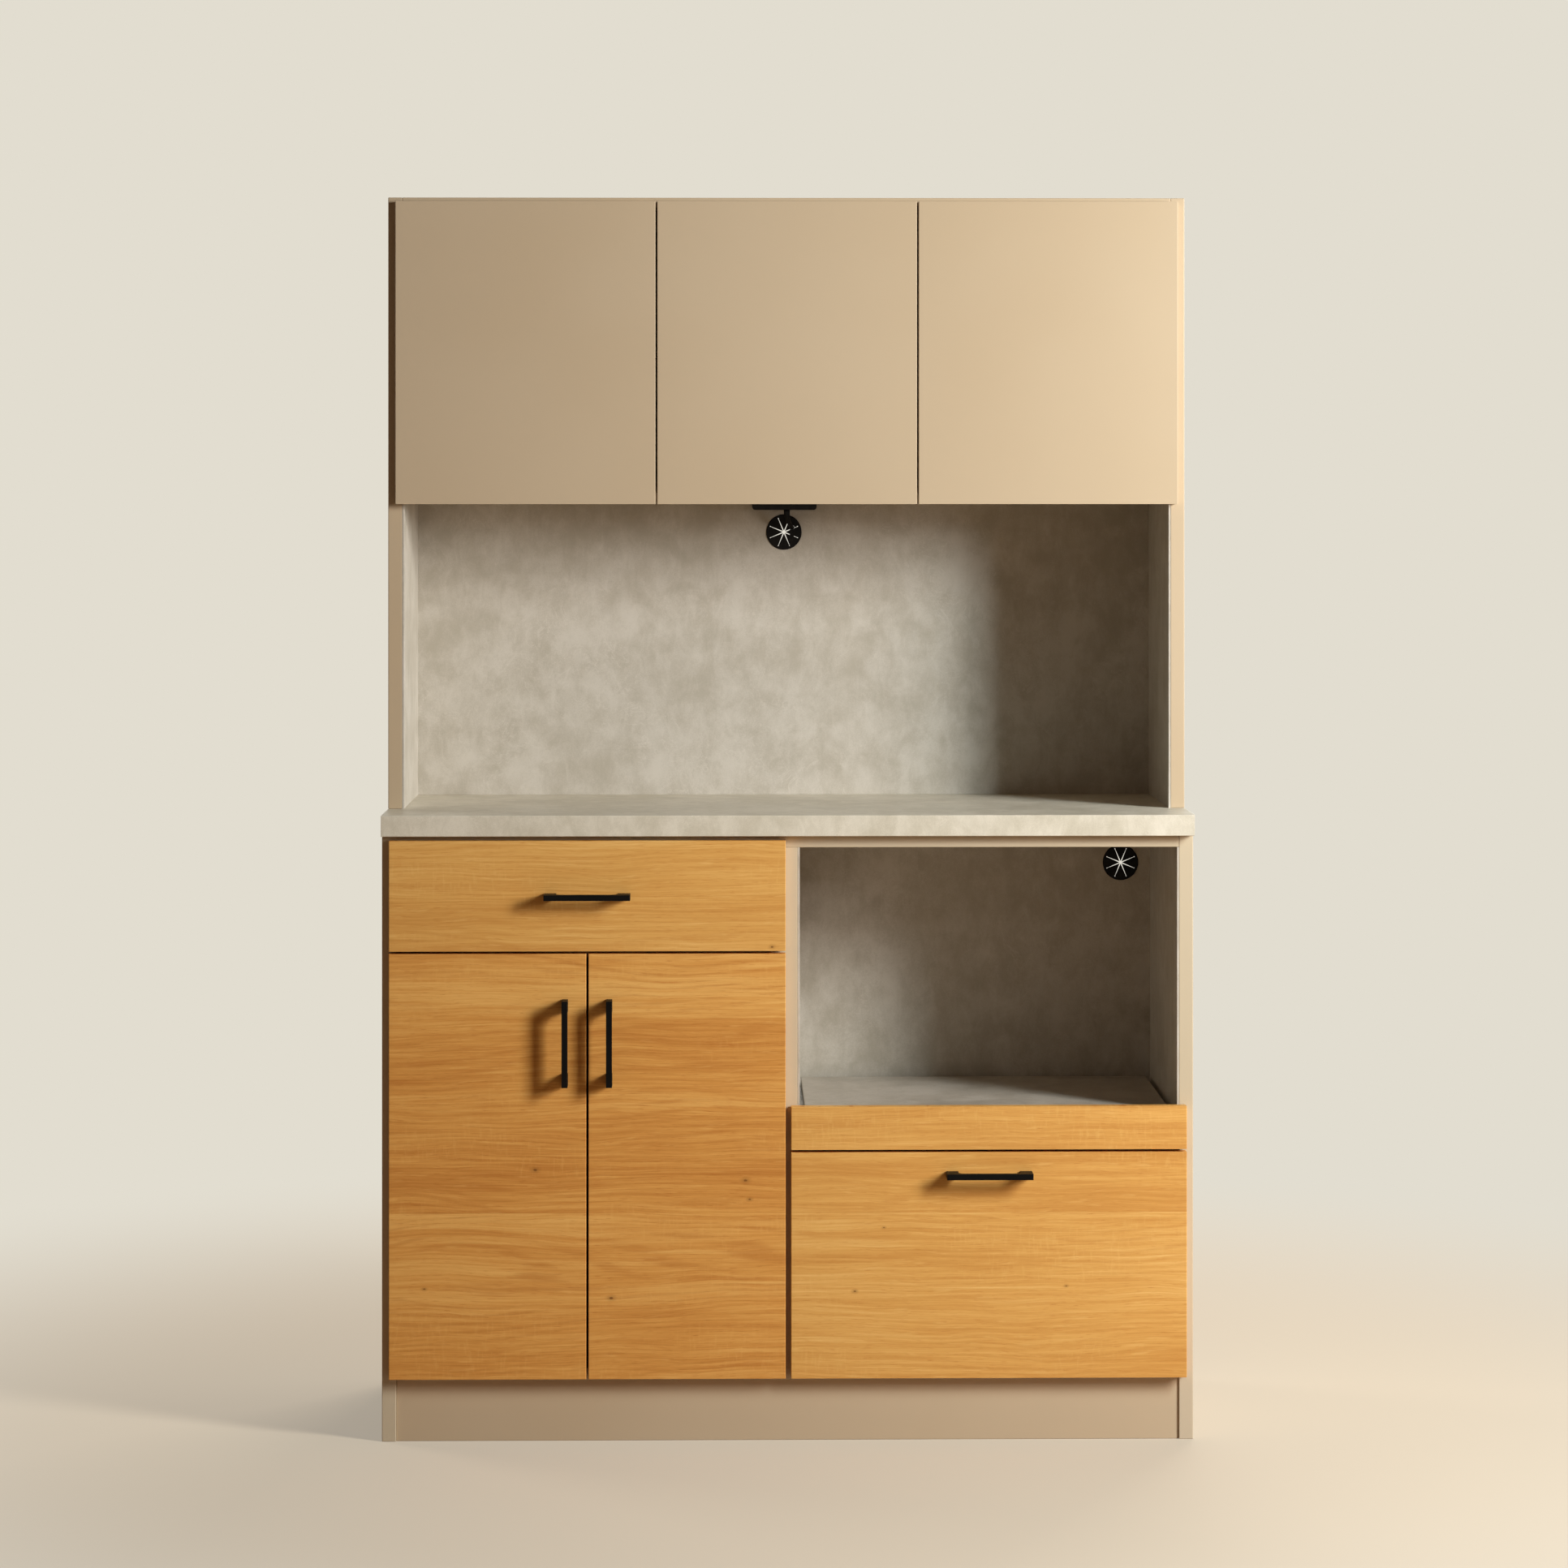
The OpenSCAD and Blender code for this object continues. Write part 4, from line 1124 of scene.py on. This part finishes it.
@dataclass(frozen=True)
class ScrewHead:
    """A pan head with a cross recess; its profile is in shares of its radius and height."""

    radius: float
    height: float
    recess: float
    arm: float
    arm_width: float
    sides: int = 16
    profile: tuple[tuple[float, float], ...] = ((1.0, 0.0), (0.97, 0.45), (0.80, 0.85), (0.68, 1.0))

    def cross(self) -> list[tuple[float, float]]:
        """Gives the outline of the cross recess.

        Returns:
            Its twelve corners, counterclockwise.
        """
        corners = [(self.arm_width, self.arm_width), (self.arm_width, self.arm), (-self.arm_width, self.arm)]
        for _ in range(3):
            corners += [(-y, x) for x, y in corners[-3:]]
        return corners

    def add_to(self, work: bmesh.types.BMesh, seat: Vector, out: Vector) -> None:
        """Adds one head.

        Args:
            work: The geometry that takes it.
            seat: The middle of its seat.
            out: The way that the head looks.
        """
        place = Matrix.Translation(seat) @ out.to_track_quat("Z", "Y").to_matrix().to_4x4()
        angles = [2 * math.pi * step / self.sides for step in range(self.sides)]
        rings = [
            [
                work.verts.new(place @ Vector((
                    self.radius * share * math.cos(a), self.radius * share * math.sin(a), self.height * rise
                )))
                for a in angles
            ]
            for share, rise in self.profile
        ]
        join_rings(work, rings)
        brim, foot = (
            [work.verts.new(place @ Vector((x, y, level))) for x, y in self.cross()]
            for level in (self.height, self.height - self.recess)
        )
        verts = rings[-1] + brim
        for triangle in tessellate_polygon([[vert.co for vert in loop] for loop in (rings[-1], brim)]):
            work.faces.new([verts[index] for index in triangle])
        join_rings(work, [brim, foot])
        work.faces.new(foot)


HINGE_SCREW = ScrewHead(radius=2.9 * MM, height=1.2 * MM, recess=0.8 * MM, arm=1.8 * MM, arm_width=0.45 * MM)
SLIDE_SCREW = ScrewHead(radius=3.4 * MM, height=1.3 * MM, recess=0.9 * MM, arm=2.1 * MM, arm_width=0.5 * MM)
HANDLE_SCREW = ScrewHead(radius=4.2 * MM, height=2.2 * MM, recess=1.2 * MM, arm=2.4 * MM, arm_width=0.55 * MM)


class Side(Enum):
    """The side of a door that its hinges are on, as the way towards it along X."""

    LEFT = -1
    RIGHT = 1


@dataclass
class HingeSet:
    """Cups, arms and plates of the concealed hinges, and their screws."""

    in_from_ends: float = 95 * MM
    door_gap: float = 2 * MM
    cup_centre: float = 20.5 * MM
    wing_screw: float = 22.5 * MM
    wing_face: float = 1.4 * MM
    plate_screw: float = 19 * MM
    plate_middle: float = 33 * MM
    plate_thick: float = 2.5 * MM
    screw: ScrewHead = HINGE_SCREW
    doors: tuple[tuple[str, Side, str], ...] = (
        ("upper_door_left", Side.LEFT, "upper_side_left"),
        ("upper_door_middle", Side.RIGHT, "upper_partition"),
        ("upper_door_right", Side.RIGHT, "upper_side_right"),
        ("lower_door_left", Side.LEFT, "lower_side_left"),
        ("lower_door_right", Side.RIGHT, "centre_divider"),
    )

    def panel_face(self, panel: str, side: Side) -> float:
        """Finds the face that carries a door's hinges.

        Args:
            panel: The node of the panel beside the door.
            side: The side of the door that its hinges are on.

        Returns:
            Where the face lies along X.
        """
        low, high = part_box(panel)
        return high.x if side is Side.LEFT else low.x

    def build(self) -> None:
        """Finishes the hinges and adds their screws."""
        for node in ("hinge_arms", "hinge_plates"):
            dress(node, NICKEL)
        plates = bmesh.new()
        for door, side, panel in self.doors:
            dress(door + "_cups", NICKEL)
            low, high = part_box(door)
            cup_x = (low.x if side is Side.LEFT else high.x) - side.value * self.cup_centre
            plate_x = self.panel_face(panel, side) - side.value * self.plate_thick
            carcase = high.y + self.door_gap
            cups = bmesh.new()
            for z in (low.z + self.in_from_ends, high.z - self.in_from_ends):
                for step in (-1, 1):
                    seat = Vector((cup_x, carcase - self.wing_face, z + step * self.wing_screw))
                    self.screw.add_to(cups, seat, REARWARD)
                    seat = Vector((plate_x, carcase + self.plate_middle, z + step * self.plate_screw))
                    self.screw.add_to(plates, seat, Vector((-side.value, 0, 0)))
            make_piece(door + "_cup_screws", cups, door, NICKEL)
        make_piece("hinge_plate_screws", plates, "cabinet", NICKEL)


@dataclass
class SlideSet:
    """Telescopic slides and the screws that hold them."""

    web: float = 1.2 * MM
    wall_gap: float = 1.6 * MM
    box_reach: float = 11.1 * MM
    hole_share: float = 0.15
    screw: ScrewHead = SLIDE_SCREW
    runs: tuple[tuple[str, str], ...] = (
        ("drawer_slide", "drawer"), ("deep_drawer_slide", "deep_drawer"), ("pull_out_slide", "pull_out_shelf"),
    )

    def build(self) -> None:
        """Finishes the members and adds their screws."""
        dress("slide_outer_members", ZINC)
        fixed = bmesh.new()
        for run, body in self.runs:
            for node in (run + "_inner", run + "_middle"):
                dress(node, ZINC)
            low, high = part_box(run + "_inner")
            height = (low.z + high.z) / 2
            moving = bmesh.new()
            for share in (self.hole_share, 1 - self.hole_share):
                y = low.y + (high.y - low.y) * share
                for way, wall, inner in self.faces(run):
                    self.screw.add_to(fixed, Vector((wall + way * self.web, y, height)), Vector((way, 0, 0)))
                    self.screw.add_to(moving, Vector((inner - way * self.web, y, height)), Vector((-way, 0, 0)))
            make_piece(run + "_box_screws", moving, body, ZINC)
        make_piece("slide_wall_screws", fixed, "cabinet", ZINC)

    def faces(self, run: str) -> tuple[tuple[int, float, float], ...]:
        """Finds the faces that a run's two slides are screwed to.

        Args:
            run: The run's name.

        Returns:
            For each slide, the way inwards along X, and where the wall and the box lie.
        """
        low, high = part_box(run + "_middle")
        return (
            (1, low.x - self.wall_gap, low.x + self.box_reach),
            (-1, high.x + self.wall_gap, high.x - self.box_reach),
        )


@dataclass
class HandleScrews:
    """The screws that hold the handles, seen on the rear of the fronts."""

    leg: float = 9 * MM
    end_thick: float = 12 * MM
    screw: ScrewHead = HANDLE_SCREW
    upright: tuple[tuple[str, str], ...] = (
        ("lower_door_left_handle", "lower_door_left"), ("lower_door_right_handle", "lower_door_right"),
    )
    level: tuple[tuple[str, str, str], ...] = (
        ("drawer_handle", "drawer_ends", "drawer"), ("deep_drawer_handle", "deep_drawer_ends", "deep_drawer"),
    )

    def fix(self, handle: str, seats: Sequence[Vector], body: str) -> None:
        """Adds one handle's screws.

        Args:
            handle: The handle's node.
            seats: The middles of their seats.
            body: The body that they move with.
        """
        work = bmesh.new()
        for seat in seats:
            self.screw.add_to(work, seat, REARWARD)
        make_piece(handle + "_screws", work, body, NICKEL)

    def build(self) -> None:
        """Adds the screws behind the doors and inside the drawers."""
        for handle, door in self.upright:
            low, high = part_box(handle)
            x, rear = (low.x + high.x) / 2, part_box(door)[1].y
            self.fix(handle, [Vector((x, rear, z)) for z in (low.z + self.leg, high.z - self.leg)], door)
        for handle, ends, body in self.level:
            low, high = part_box(handle)
            box_low, box_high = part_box(ends)
            z, rear = (low.z + high.z) / 2, box_low.y
            if low.z > box_low.z and high.z < box_high.z:
                rear += self.end_thick
            self.fix(handle, [Vector((x, rear, z)) for x in (low.x + self.leg, high.x - self.leg)], body)


@dataclass
class SmallParts:
    """Grommets, socket strip and shelf pins, which stay as they are."""

    finishes: tuple[tuple[str, Finish], ...] = (
        ("cord_grommets", RUBBER), ("socket_housing", PLASTIC), ("socket_inserts", PLASTIC),
        ("shelf_pins", NICKEL),
    )

    def build(self) -> None:
        """Finishes the small parts."""
        for node, finish in self.finishes:
            dress(node, finish)


@dataclass
class Tube:
    """A round tube that follows a line of points."""

    points: list[Vector]
    radii: list[float]
    sides: int = 12

    def add_to(self, work: bmesh.types.BMesh) -> None:
        """Adds the tube with closed ends, its rings kept from twisting.

        Args:
            work: The geometry that takes it.
        """
        last = len(self.points) - 1
        headings = [
            (self.points[min(i + 1, last)] - self.points[max(i - 1, 0)]).normalized() for i in range(last + 1)
        ]
        angles = [2 * math.pi * step / self.sides for step in range(self.sides)]
        side = headings[0].orthogonal().normalized()
        rings = []
        for place, heading, radius in zip(self.points, headings, self.radii):
            side = (side - heading * side.dot(heading)).normalized()
            across = heading.cross(side)
            rings.append([
                work.verts.new(place + radius * (math.cos(a) * side + math.sin(a) * across)) for a in angles
            ])
        join_rings(work, rings)
        work.faces.new(rings[0])
        work.faces.new(list(reversed(rings[-1])))


@dataclass
class SupplyCord:
    """The supply cord: its route, its coil on the floor, its plug, boot and tie.

    Each of the blade's rings is given by its depth from the plug's left and half its sizes along Y and Z.
    """

    diameter: float = 6.8 * MM
    length: float = 2.5
    coil_radius: float = 45 * MM
    coil_turns: int = 2
    turn_gap: float = 0.7 * MM
    plug_lead: float = 26 * MM
    boot_length: float = 20 * MM
    boot_width: float = 10.5 * MM
    boot_clearance: float = 0.25 * MM
    steps: int = 5
    rings_per_turn: int = 32
    tie_angle: float = math.radians(205)
    tie_width: float = 7 * MM
    tie_thick: float = 0.5 * MM
    tie_steps: int = 4
    blade_gap: float = 12.7 * MM
    blade_rings: tuple[Triple, ...] = (
        (17.4 * MM, 0.85 * MM, 3.3 * MM), (-0.05 * MM, 0.85 * MM, 3.3 * MM), (-0.55 * MM, 0.45 * MM, 2.8 * MM),
    )
    route: tuple[Triple, ...] = (
        (0.004, 0.188, 1.3746), (0.0045, 0.1895, 1.365), (0.007, 0.1945, 1.3565), (0.010, 0.202, 1.3505),
        (0.012, 0.209, 1.3475), (0.013, 0.216, 1.3466), (0.013, 0.227, 1.3466), (0.013, 0.234, 1.3456),
        (0.013, 0.243, 1.3416), (0.013, 0.250, 1.3346), (0.013, 0.254, 1.326), (0.013, 0.255, 1.318),
        (0.013, 0.255, 0.038), (0.015, 0.255, 0.026), (0.021, 0.255, 0.0155), (0.030, 0.255, 0.008),
        (0.040, 0.255, 0.0042), (0.047, 0.255, 0.0034), (0.0532, 0.255, 0.0034),
    )

    def pitch(self) -> float:
        """Returns how far the coil's turns and layers lie apart."""
        return self.diameter + self.turn_gap

    def coil_centre(self) -> Vector:
        """Returns the coil's centre, in the middle of its lower layer."""
        start = Vector(self.route[-1])
        return Vector((start.x + self.diameter, start.y + self.coil_radius, start.z))

    def free_line(self) -> list[Vector]:
        """Draws the stretch that isn't coiled as one smooth line.

        Returns:
            The line's points, none nearer the floor than the cord lies.
        """
        knots = [Vector(point) for point in self.route]
        runs = [(after - before).normalized() for before, after in zip(knots, knots[1:])]
        ways = [runs[0]] + [(a + b).normalized() for a, b in zip(runs, runs[1:])] + [runs[-1]]
        line = []
        for index, (start, end) in enumerate(zip(knots, knots[1:])):
            reach = (end - start).length
            for step in range(self.steps):
                t = step / self.steps
                # A cubic that has the wanted place and heading at both ends.
                place = (
                    start * (2 * t ** 3 - 3 * t ** 2 + 1) + ways[index] * reach * (t ** 3 - 2 * t ** 2 + t)
                    + end * (3 * t ** 2 - 2 * t ** 3) + ways[index + 1] * reach * (t ** 3 - t ** 2)
                )
                place.z = max(place.z, self.diameter / 2)
                line.append(place)
        return line + [knots[-1]]

    def coil_line(self) -> list[Vector]:
        """Draws the coil: inwards on the floor, up a layer, and outwards again to the plug.

        Returns:
            The coil's points.
        """
        centre = self.coil_centre()
        half = FULL_TURN * self.coil_turns + QUARTER_TURN
        line = []
        for index in range(2 * half * self.rings_per_turn // FULL_TURN + 1):
            degrees = index * FULL_TURN / self.rings_per_turn
            turned = min(degrees, 2 * half - degrees)
            radius = self.coil_radius - self.pitch() * turned / FULL_TURN
            rise = self.pitch() * min(1.0, max(0.0, (degrees - half + QUARTER_TURN) / HALF_TURN))
            angle = math.radians(degrees)
            line.append(centre + Vector((radius * math.sin(angle), -radius * math.cos(angle), rise)))
        line.append(line[-1] - Vector((self.plug_lead, 0, 0)))
        return line

    def build(self) -> None:
        line = self.free_line() + self.coil_line()
        work = bmesh.new()
        Tube(line, [self.diameter / 2] * len(line)).add_to(work)
        cord = make_piece("supply_cord_run", work, "cabinet", RUBBER, ["supply_cord", "cord_coil"], smooth=True)
        dress("plug", PLASTIC)
        boot = self.boot(line)
        tie = self.tie()
        blades = self.blades()

    def boot(self, line: list[Vector]) -> bpy.types.Object:
        """Builds the tapered strain relief where the cord leaves the socket strip.

        Args:
            line: The cord's points from there on.

        Returns:
            The strain relief.
        """
        reached, count = 0.0, 1
        while reached < self.boot_length:
            reached += (line[count] - line[count - 1]).length
            count += 1
        wide, narrow = self.boot_width / 2, self.diameter / 2 + self.boot_clearance
        work = bmesh.new()
        Tube(line[:count], [wide + (narrow - wide) * i / (count - 1) for i in range(count)]).add_to(work)
        return make_piece("cord_boot", work, "cabinet", RUBBER, smooth=True)

    def blades(self) -> bpy.types.Object:
        """Sheathes the plug's two blades in bright metal with eased tips.

        Returns:
            The blades, as one piece.
        """
        low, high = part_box("plug")
        middle = (low + high) / 2
        work = bmesh.new()
        for side in (-0.5, 0.5):
            rings = []
            for depth, thick, tall in self.blade_rings:
                heart = Vector((low.x + depth, middle.y + side * self.blade_gap, middle.z))
                corners = ((-thick, -tall), (thick, -tall), (thick, tall), (-thick, tall))
                rings.append([work.verts.new(heart + Vector((0, y, z))) for y, z in corners])
            join_rings(work, rings)
            work.faces.new(rings[0])
            work.faces.new(rings[-1])
        return make_piece("plug_blades", work, "cabinet", NICKEL)

    def tie(self) -> bpy.types.Object:
        """Builds the band round the coil's turns, its section rounded as they are.

        Returns:
            The band.
        """
        centre = self.coil_centre()
        centre.z = 0.0
        outward = Vector((math.sin(self.tie_angle), -math.cos(self.tie_angle), 0))
        along = Vector((-outward.y, outward.x, 0))
        turns = self.coil_turns + QUARTER_TURN / FULL_TURN
        outer = self.coil_radius + self.diameter / 2 + self.tie_thick
        inner = self.coil_radius - self.pitch() * turns - self.diameter / 2 - self.tie_thick
        top = self.pitch() + self.diameter + self.tie_thick
        corner = self.diameter / 2
        middle, half_w, half_h = (outer + inner) / 2, (outer - inner) / 2, top / 2
        work = bmesh.new()
        loops = []
        for offset, grow in ((-0.5, 0.0), (0.5, 0.0), (0.5, -self.tie_thick), (-0.5, -self.tie_thick)):
            ring = []
            for quarter in range(4):
                flat_x = (half_w - corner) * (1 if quarter in (0, 3) else -1)
                flat_z = (half_h - corner) * (1 if quarter in (0, 1) else -1)
                for step in range(self.tie_steps + 1):
                    angle = math.radians(QUARTER_TURN * quarter + QUARTER_TURN / self.tie_steps * step)
                    reach = flat_x + (corner + grow) * math.cos(angle)
                    rise = flat_z + (corner + grow) * math.sin(angle)
                    place = centre + outward * (middle + reach) + along * (offset * self.tie_width)
                    ring.append(work.verts.new(place + Vector((0, 0, half_h + rise))))
            loops.append(ring)
        join_rings(work, loops + loops[:1])
        return make_piece("coil_tie", work, "cabinet", PLASTIC)


@dataclass(frozen=True)
class Softbox:
    """A rectangular lamp: its place, what it looks at, its size, power and tone."""

    name: str
    place: Triple
    aim: Triple
    size: tuple[float, float]
    power: float
    tone: Triple
    mirrored: bool = True

    def hang(self) -> None:
        """Adds the lamp to the scene."""
        data = bpy.data.lights.new(self.name, "AREA")
        data.shape = "RECTANGLE"
        data.size, data.size_y = self.size
        data.energy = self.power
        data.color = self.tone
        lamp = bpy.data.objects.new(self.name, data)
        lamp.visible_glossy = self.mirrored
        lamp.location = self.place
        way = Vector(self.aim) - Vector(self.place)
        lamp.rotation_euler = way.to_track_quat("-Z", "Y").to_euler()
        bpy.context.scene.collection.objects.link(lamp)


@dataclass
class Studio:
    """Camera, floor, lamps and surroundings."""

    photo_pixels: int = 1932
    focal_pixels: float = 5124.0
    horizon_row: float = 607.2
    sensor: float = 36.0
    camera_place: Triple = (-0.1007, -6.3395, 1.4015)
    camera_yaw: float = math.radians(-0.881)
    clip_end: float = 60.0
    floor_radius: float = 9.0
    floor_segments: int = 96
    floor_roughness: float = 0.7
    floor_tone: Colour = paint(208, 190, 165)
    floor_bounce: Colour = paint(160, 132, 104)
    backdrop: Colour = paint(226, 221, 208)
    fade: Span = (0.9, 2.4)
    fade_glow: Span = (0.35, 1.0)
    lamps: tuple[Softbox, ...] = (
        Softbox("key_lamp", (2.1, -1.66, 1.9), (0.05, -0.1, 0.95), (0.42, 0.8), 61.0, (0.83, 0.92, 0.925)),
        Softbox("side_lamp", (3.5, -2.45, 1.93), (0.0, 0.0, 1.0), (1.0, 1.2), 148.0, (0.99, 0.92, 0.87)),
        Softbox("rear_lamp", (1.2, 3.4, 2.3), (0.0, 0.2, 1.0), (2.2, 2.0), 110.0, (1.0, 0.98, 0.95), False),
        Softbox("top_lamp", (0.2, 0.7, 3.6), (0.1, 0.15, 1.85), (1.6, 0.9), 18.0, (1.0, 0.98, 0.95), False),
        Softbox("left_lamp", (-3.0, 1.7, 2.1), (-0.6, 0.1, 0.95), (1.2, 1.6), 38.0, (1.0, 0.97, 0.93), False),
    )
    ambient: Colour = (1.0, 0.45, 0.25, 1.0)
    ambient_strength: float = 0.03

    def camera(self) -> None:
        """Places the camera at the photograph's viewing angle."""
        data = bpy.data.cameras.new("view_camera")
        data.sensor_width = self.sensor
        data.lens = self.sensor * self.focal_pixels / self.photo_pixels
        data.shift_y = (self.horizon_row - self.photo_pixels / 2) / self.photo_pixels
        data.clip_end = self.clip_end
        camera = bpy.data.objects.new("view_camera", data)
        camera.location = self.camera_place
        camera.rotation_euler = (math.pi / 2, 0.0, self.camera_yaw)
        bpy.context.scene.collection.objects.link(camera)
        bpy.context.scene.camera = camera

    def floor(self) -> None:
        """Lays a plain pale floor that runs out into the surroundings."""
        work = bmesh.new()
        bmesh.ops.create_circle(work, cap_ends=True, segments=self.floor_segments, radius=self.floor_radius)
        floor = link("studio_floor", mesh_from("studio_floor", work))
        made = bpy.data.materials.new("studio_floor")
        made.use_nodes = True
        wiring = Wiring(made.node_tree)
        shader = made.node_tree.nodes["Principled BSDF"]
        bounced = wiring.add("ShaderNodeLightPath").outputs["Is Diffuse Ray"]
        tone = wiring.tint(bounced, self.floor_tone, self.floor_bounce)
        wiring.supply(shader, {"Base Color": tone, "Roughness": self.floor_roughness})
        glow = wiring.add("ShaderNodeEmission")
        wiring.feed(glow.inputs["Color"], self.backdrop)
        place = wiring.add("ShaderNodeNewGeometry").outputs["Position"]
        far = wiring.remap(wiring.vector_calc("LENGTH", place), self.fade, self.fade_glow)
        share = wiring.calc("MULTIPLY", far, self.seen(wiring))
        mixed = wiring.mix_shaders(share, shader.outputs[0], glow.outputs[0])
        wiring.feed(made.node_tree.nodes["Material Output"].inputs["Surface"], mixed)
        floor.data.materials.append(made)

    def seen(self, wiring: Wiring) -> bpy.types.NodeSocket:
        """Tells the rays that show the surroundings: camera, glossy and through glass.

        Args:
            wiring: The material's or the world's wiring.

        Returns:
            An output that is 1 for those rays and 0 for the others.
        """
        path = wiring.add("ShaderNodeLightPath")
        glossy = wiring.calc("MAXIMUM", path.outputs["Is Camera Ray"], path.outputs["Is Glossy Ray"])
        return wiring.calc("MAXIMUM", glossy, path.outputs["Is Transmission Ray"])

    def surroundings(self) -> None:
        """Gives the world its soft warm light, and a pale look where it is seen."""
        world = bpy.data.worlds.new("studio")
        bpy.context.scene.world = world
        world.use_nodes = True
        wiring = Wiring(world.node_tree)
        light = world.node_tree.nodes["Background"]
        wiring.supply(light, {"Color": self.ambient, "Strength": self.ambient_strength})
        shown = wiring.add("ShaderNodeBackground")
        wiring.feed(shown.inputs["Color"], self.backdrop)
        mixed = wiring.mix_shaders(self.seen(wiring), light.outputs[0], shown.outputs[0])
        wiring.feed(world.node_tree.nodes["World Output"].inputs["Surface"], mixed)

    def build(self) -> None:
        """Builds everything round the cabinet."""
        bpy.context.scene.view_settings.view_transform = "Standard"
        self.floor()
        self.surroundings()
        for lamp in self.lamps:
            lamp.hang()


def main() -> None:
    """Builds the camera and cord first, then the cabinet, then the studio."""
    logging.basicConfig(level=logging.INFO, format="%(name)s: %(message)s")
    studio = Studio()
    studio.camera()
    parts = (
        SupplyCord(), Carcase(), Fronts(), DrawerBoxes(), HingeSet(), SlideSet(), HandleScrews(), SmallParts(),
    )
    for part in parts:
        part.build()
    studio.build()


if __name__ == "__main__":
    main()
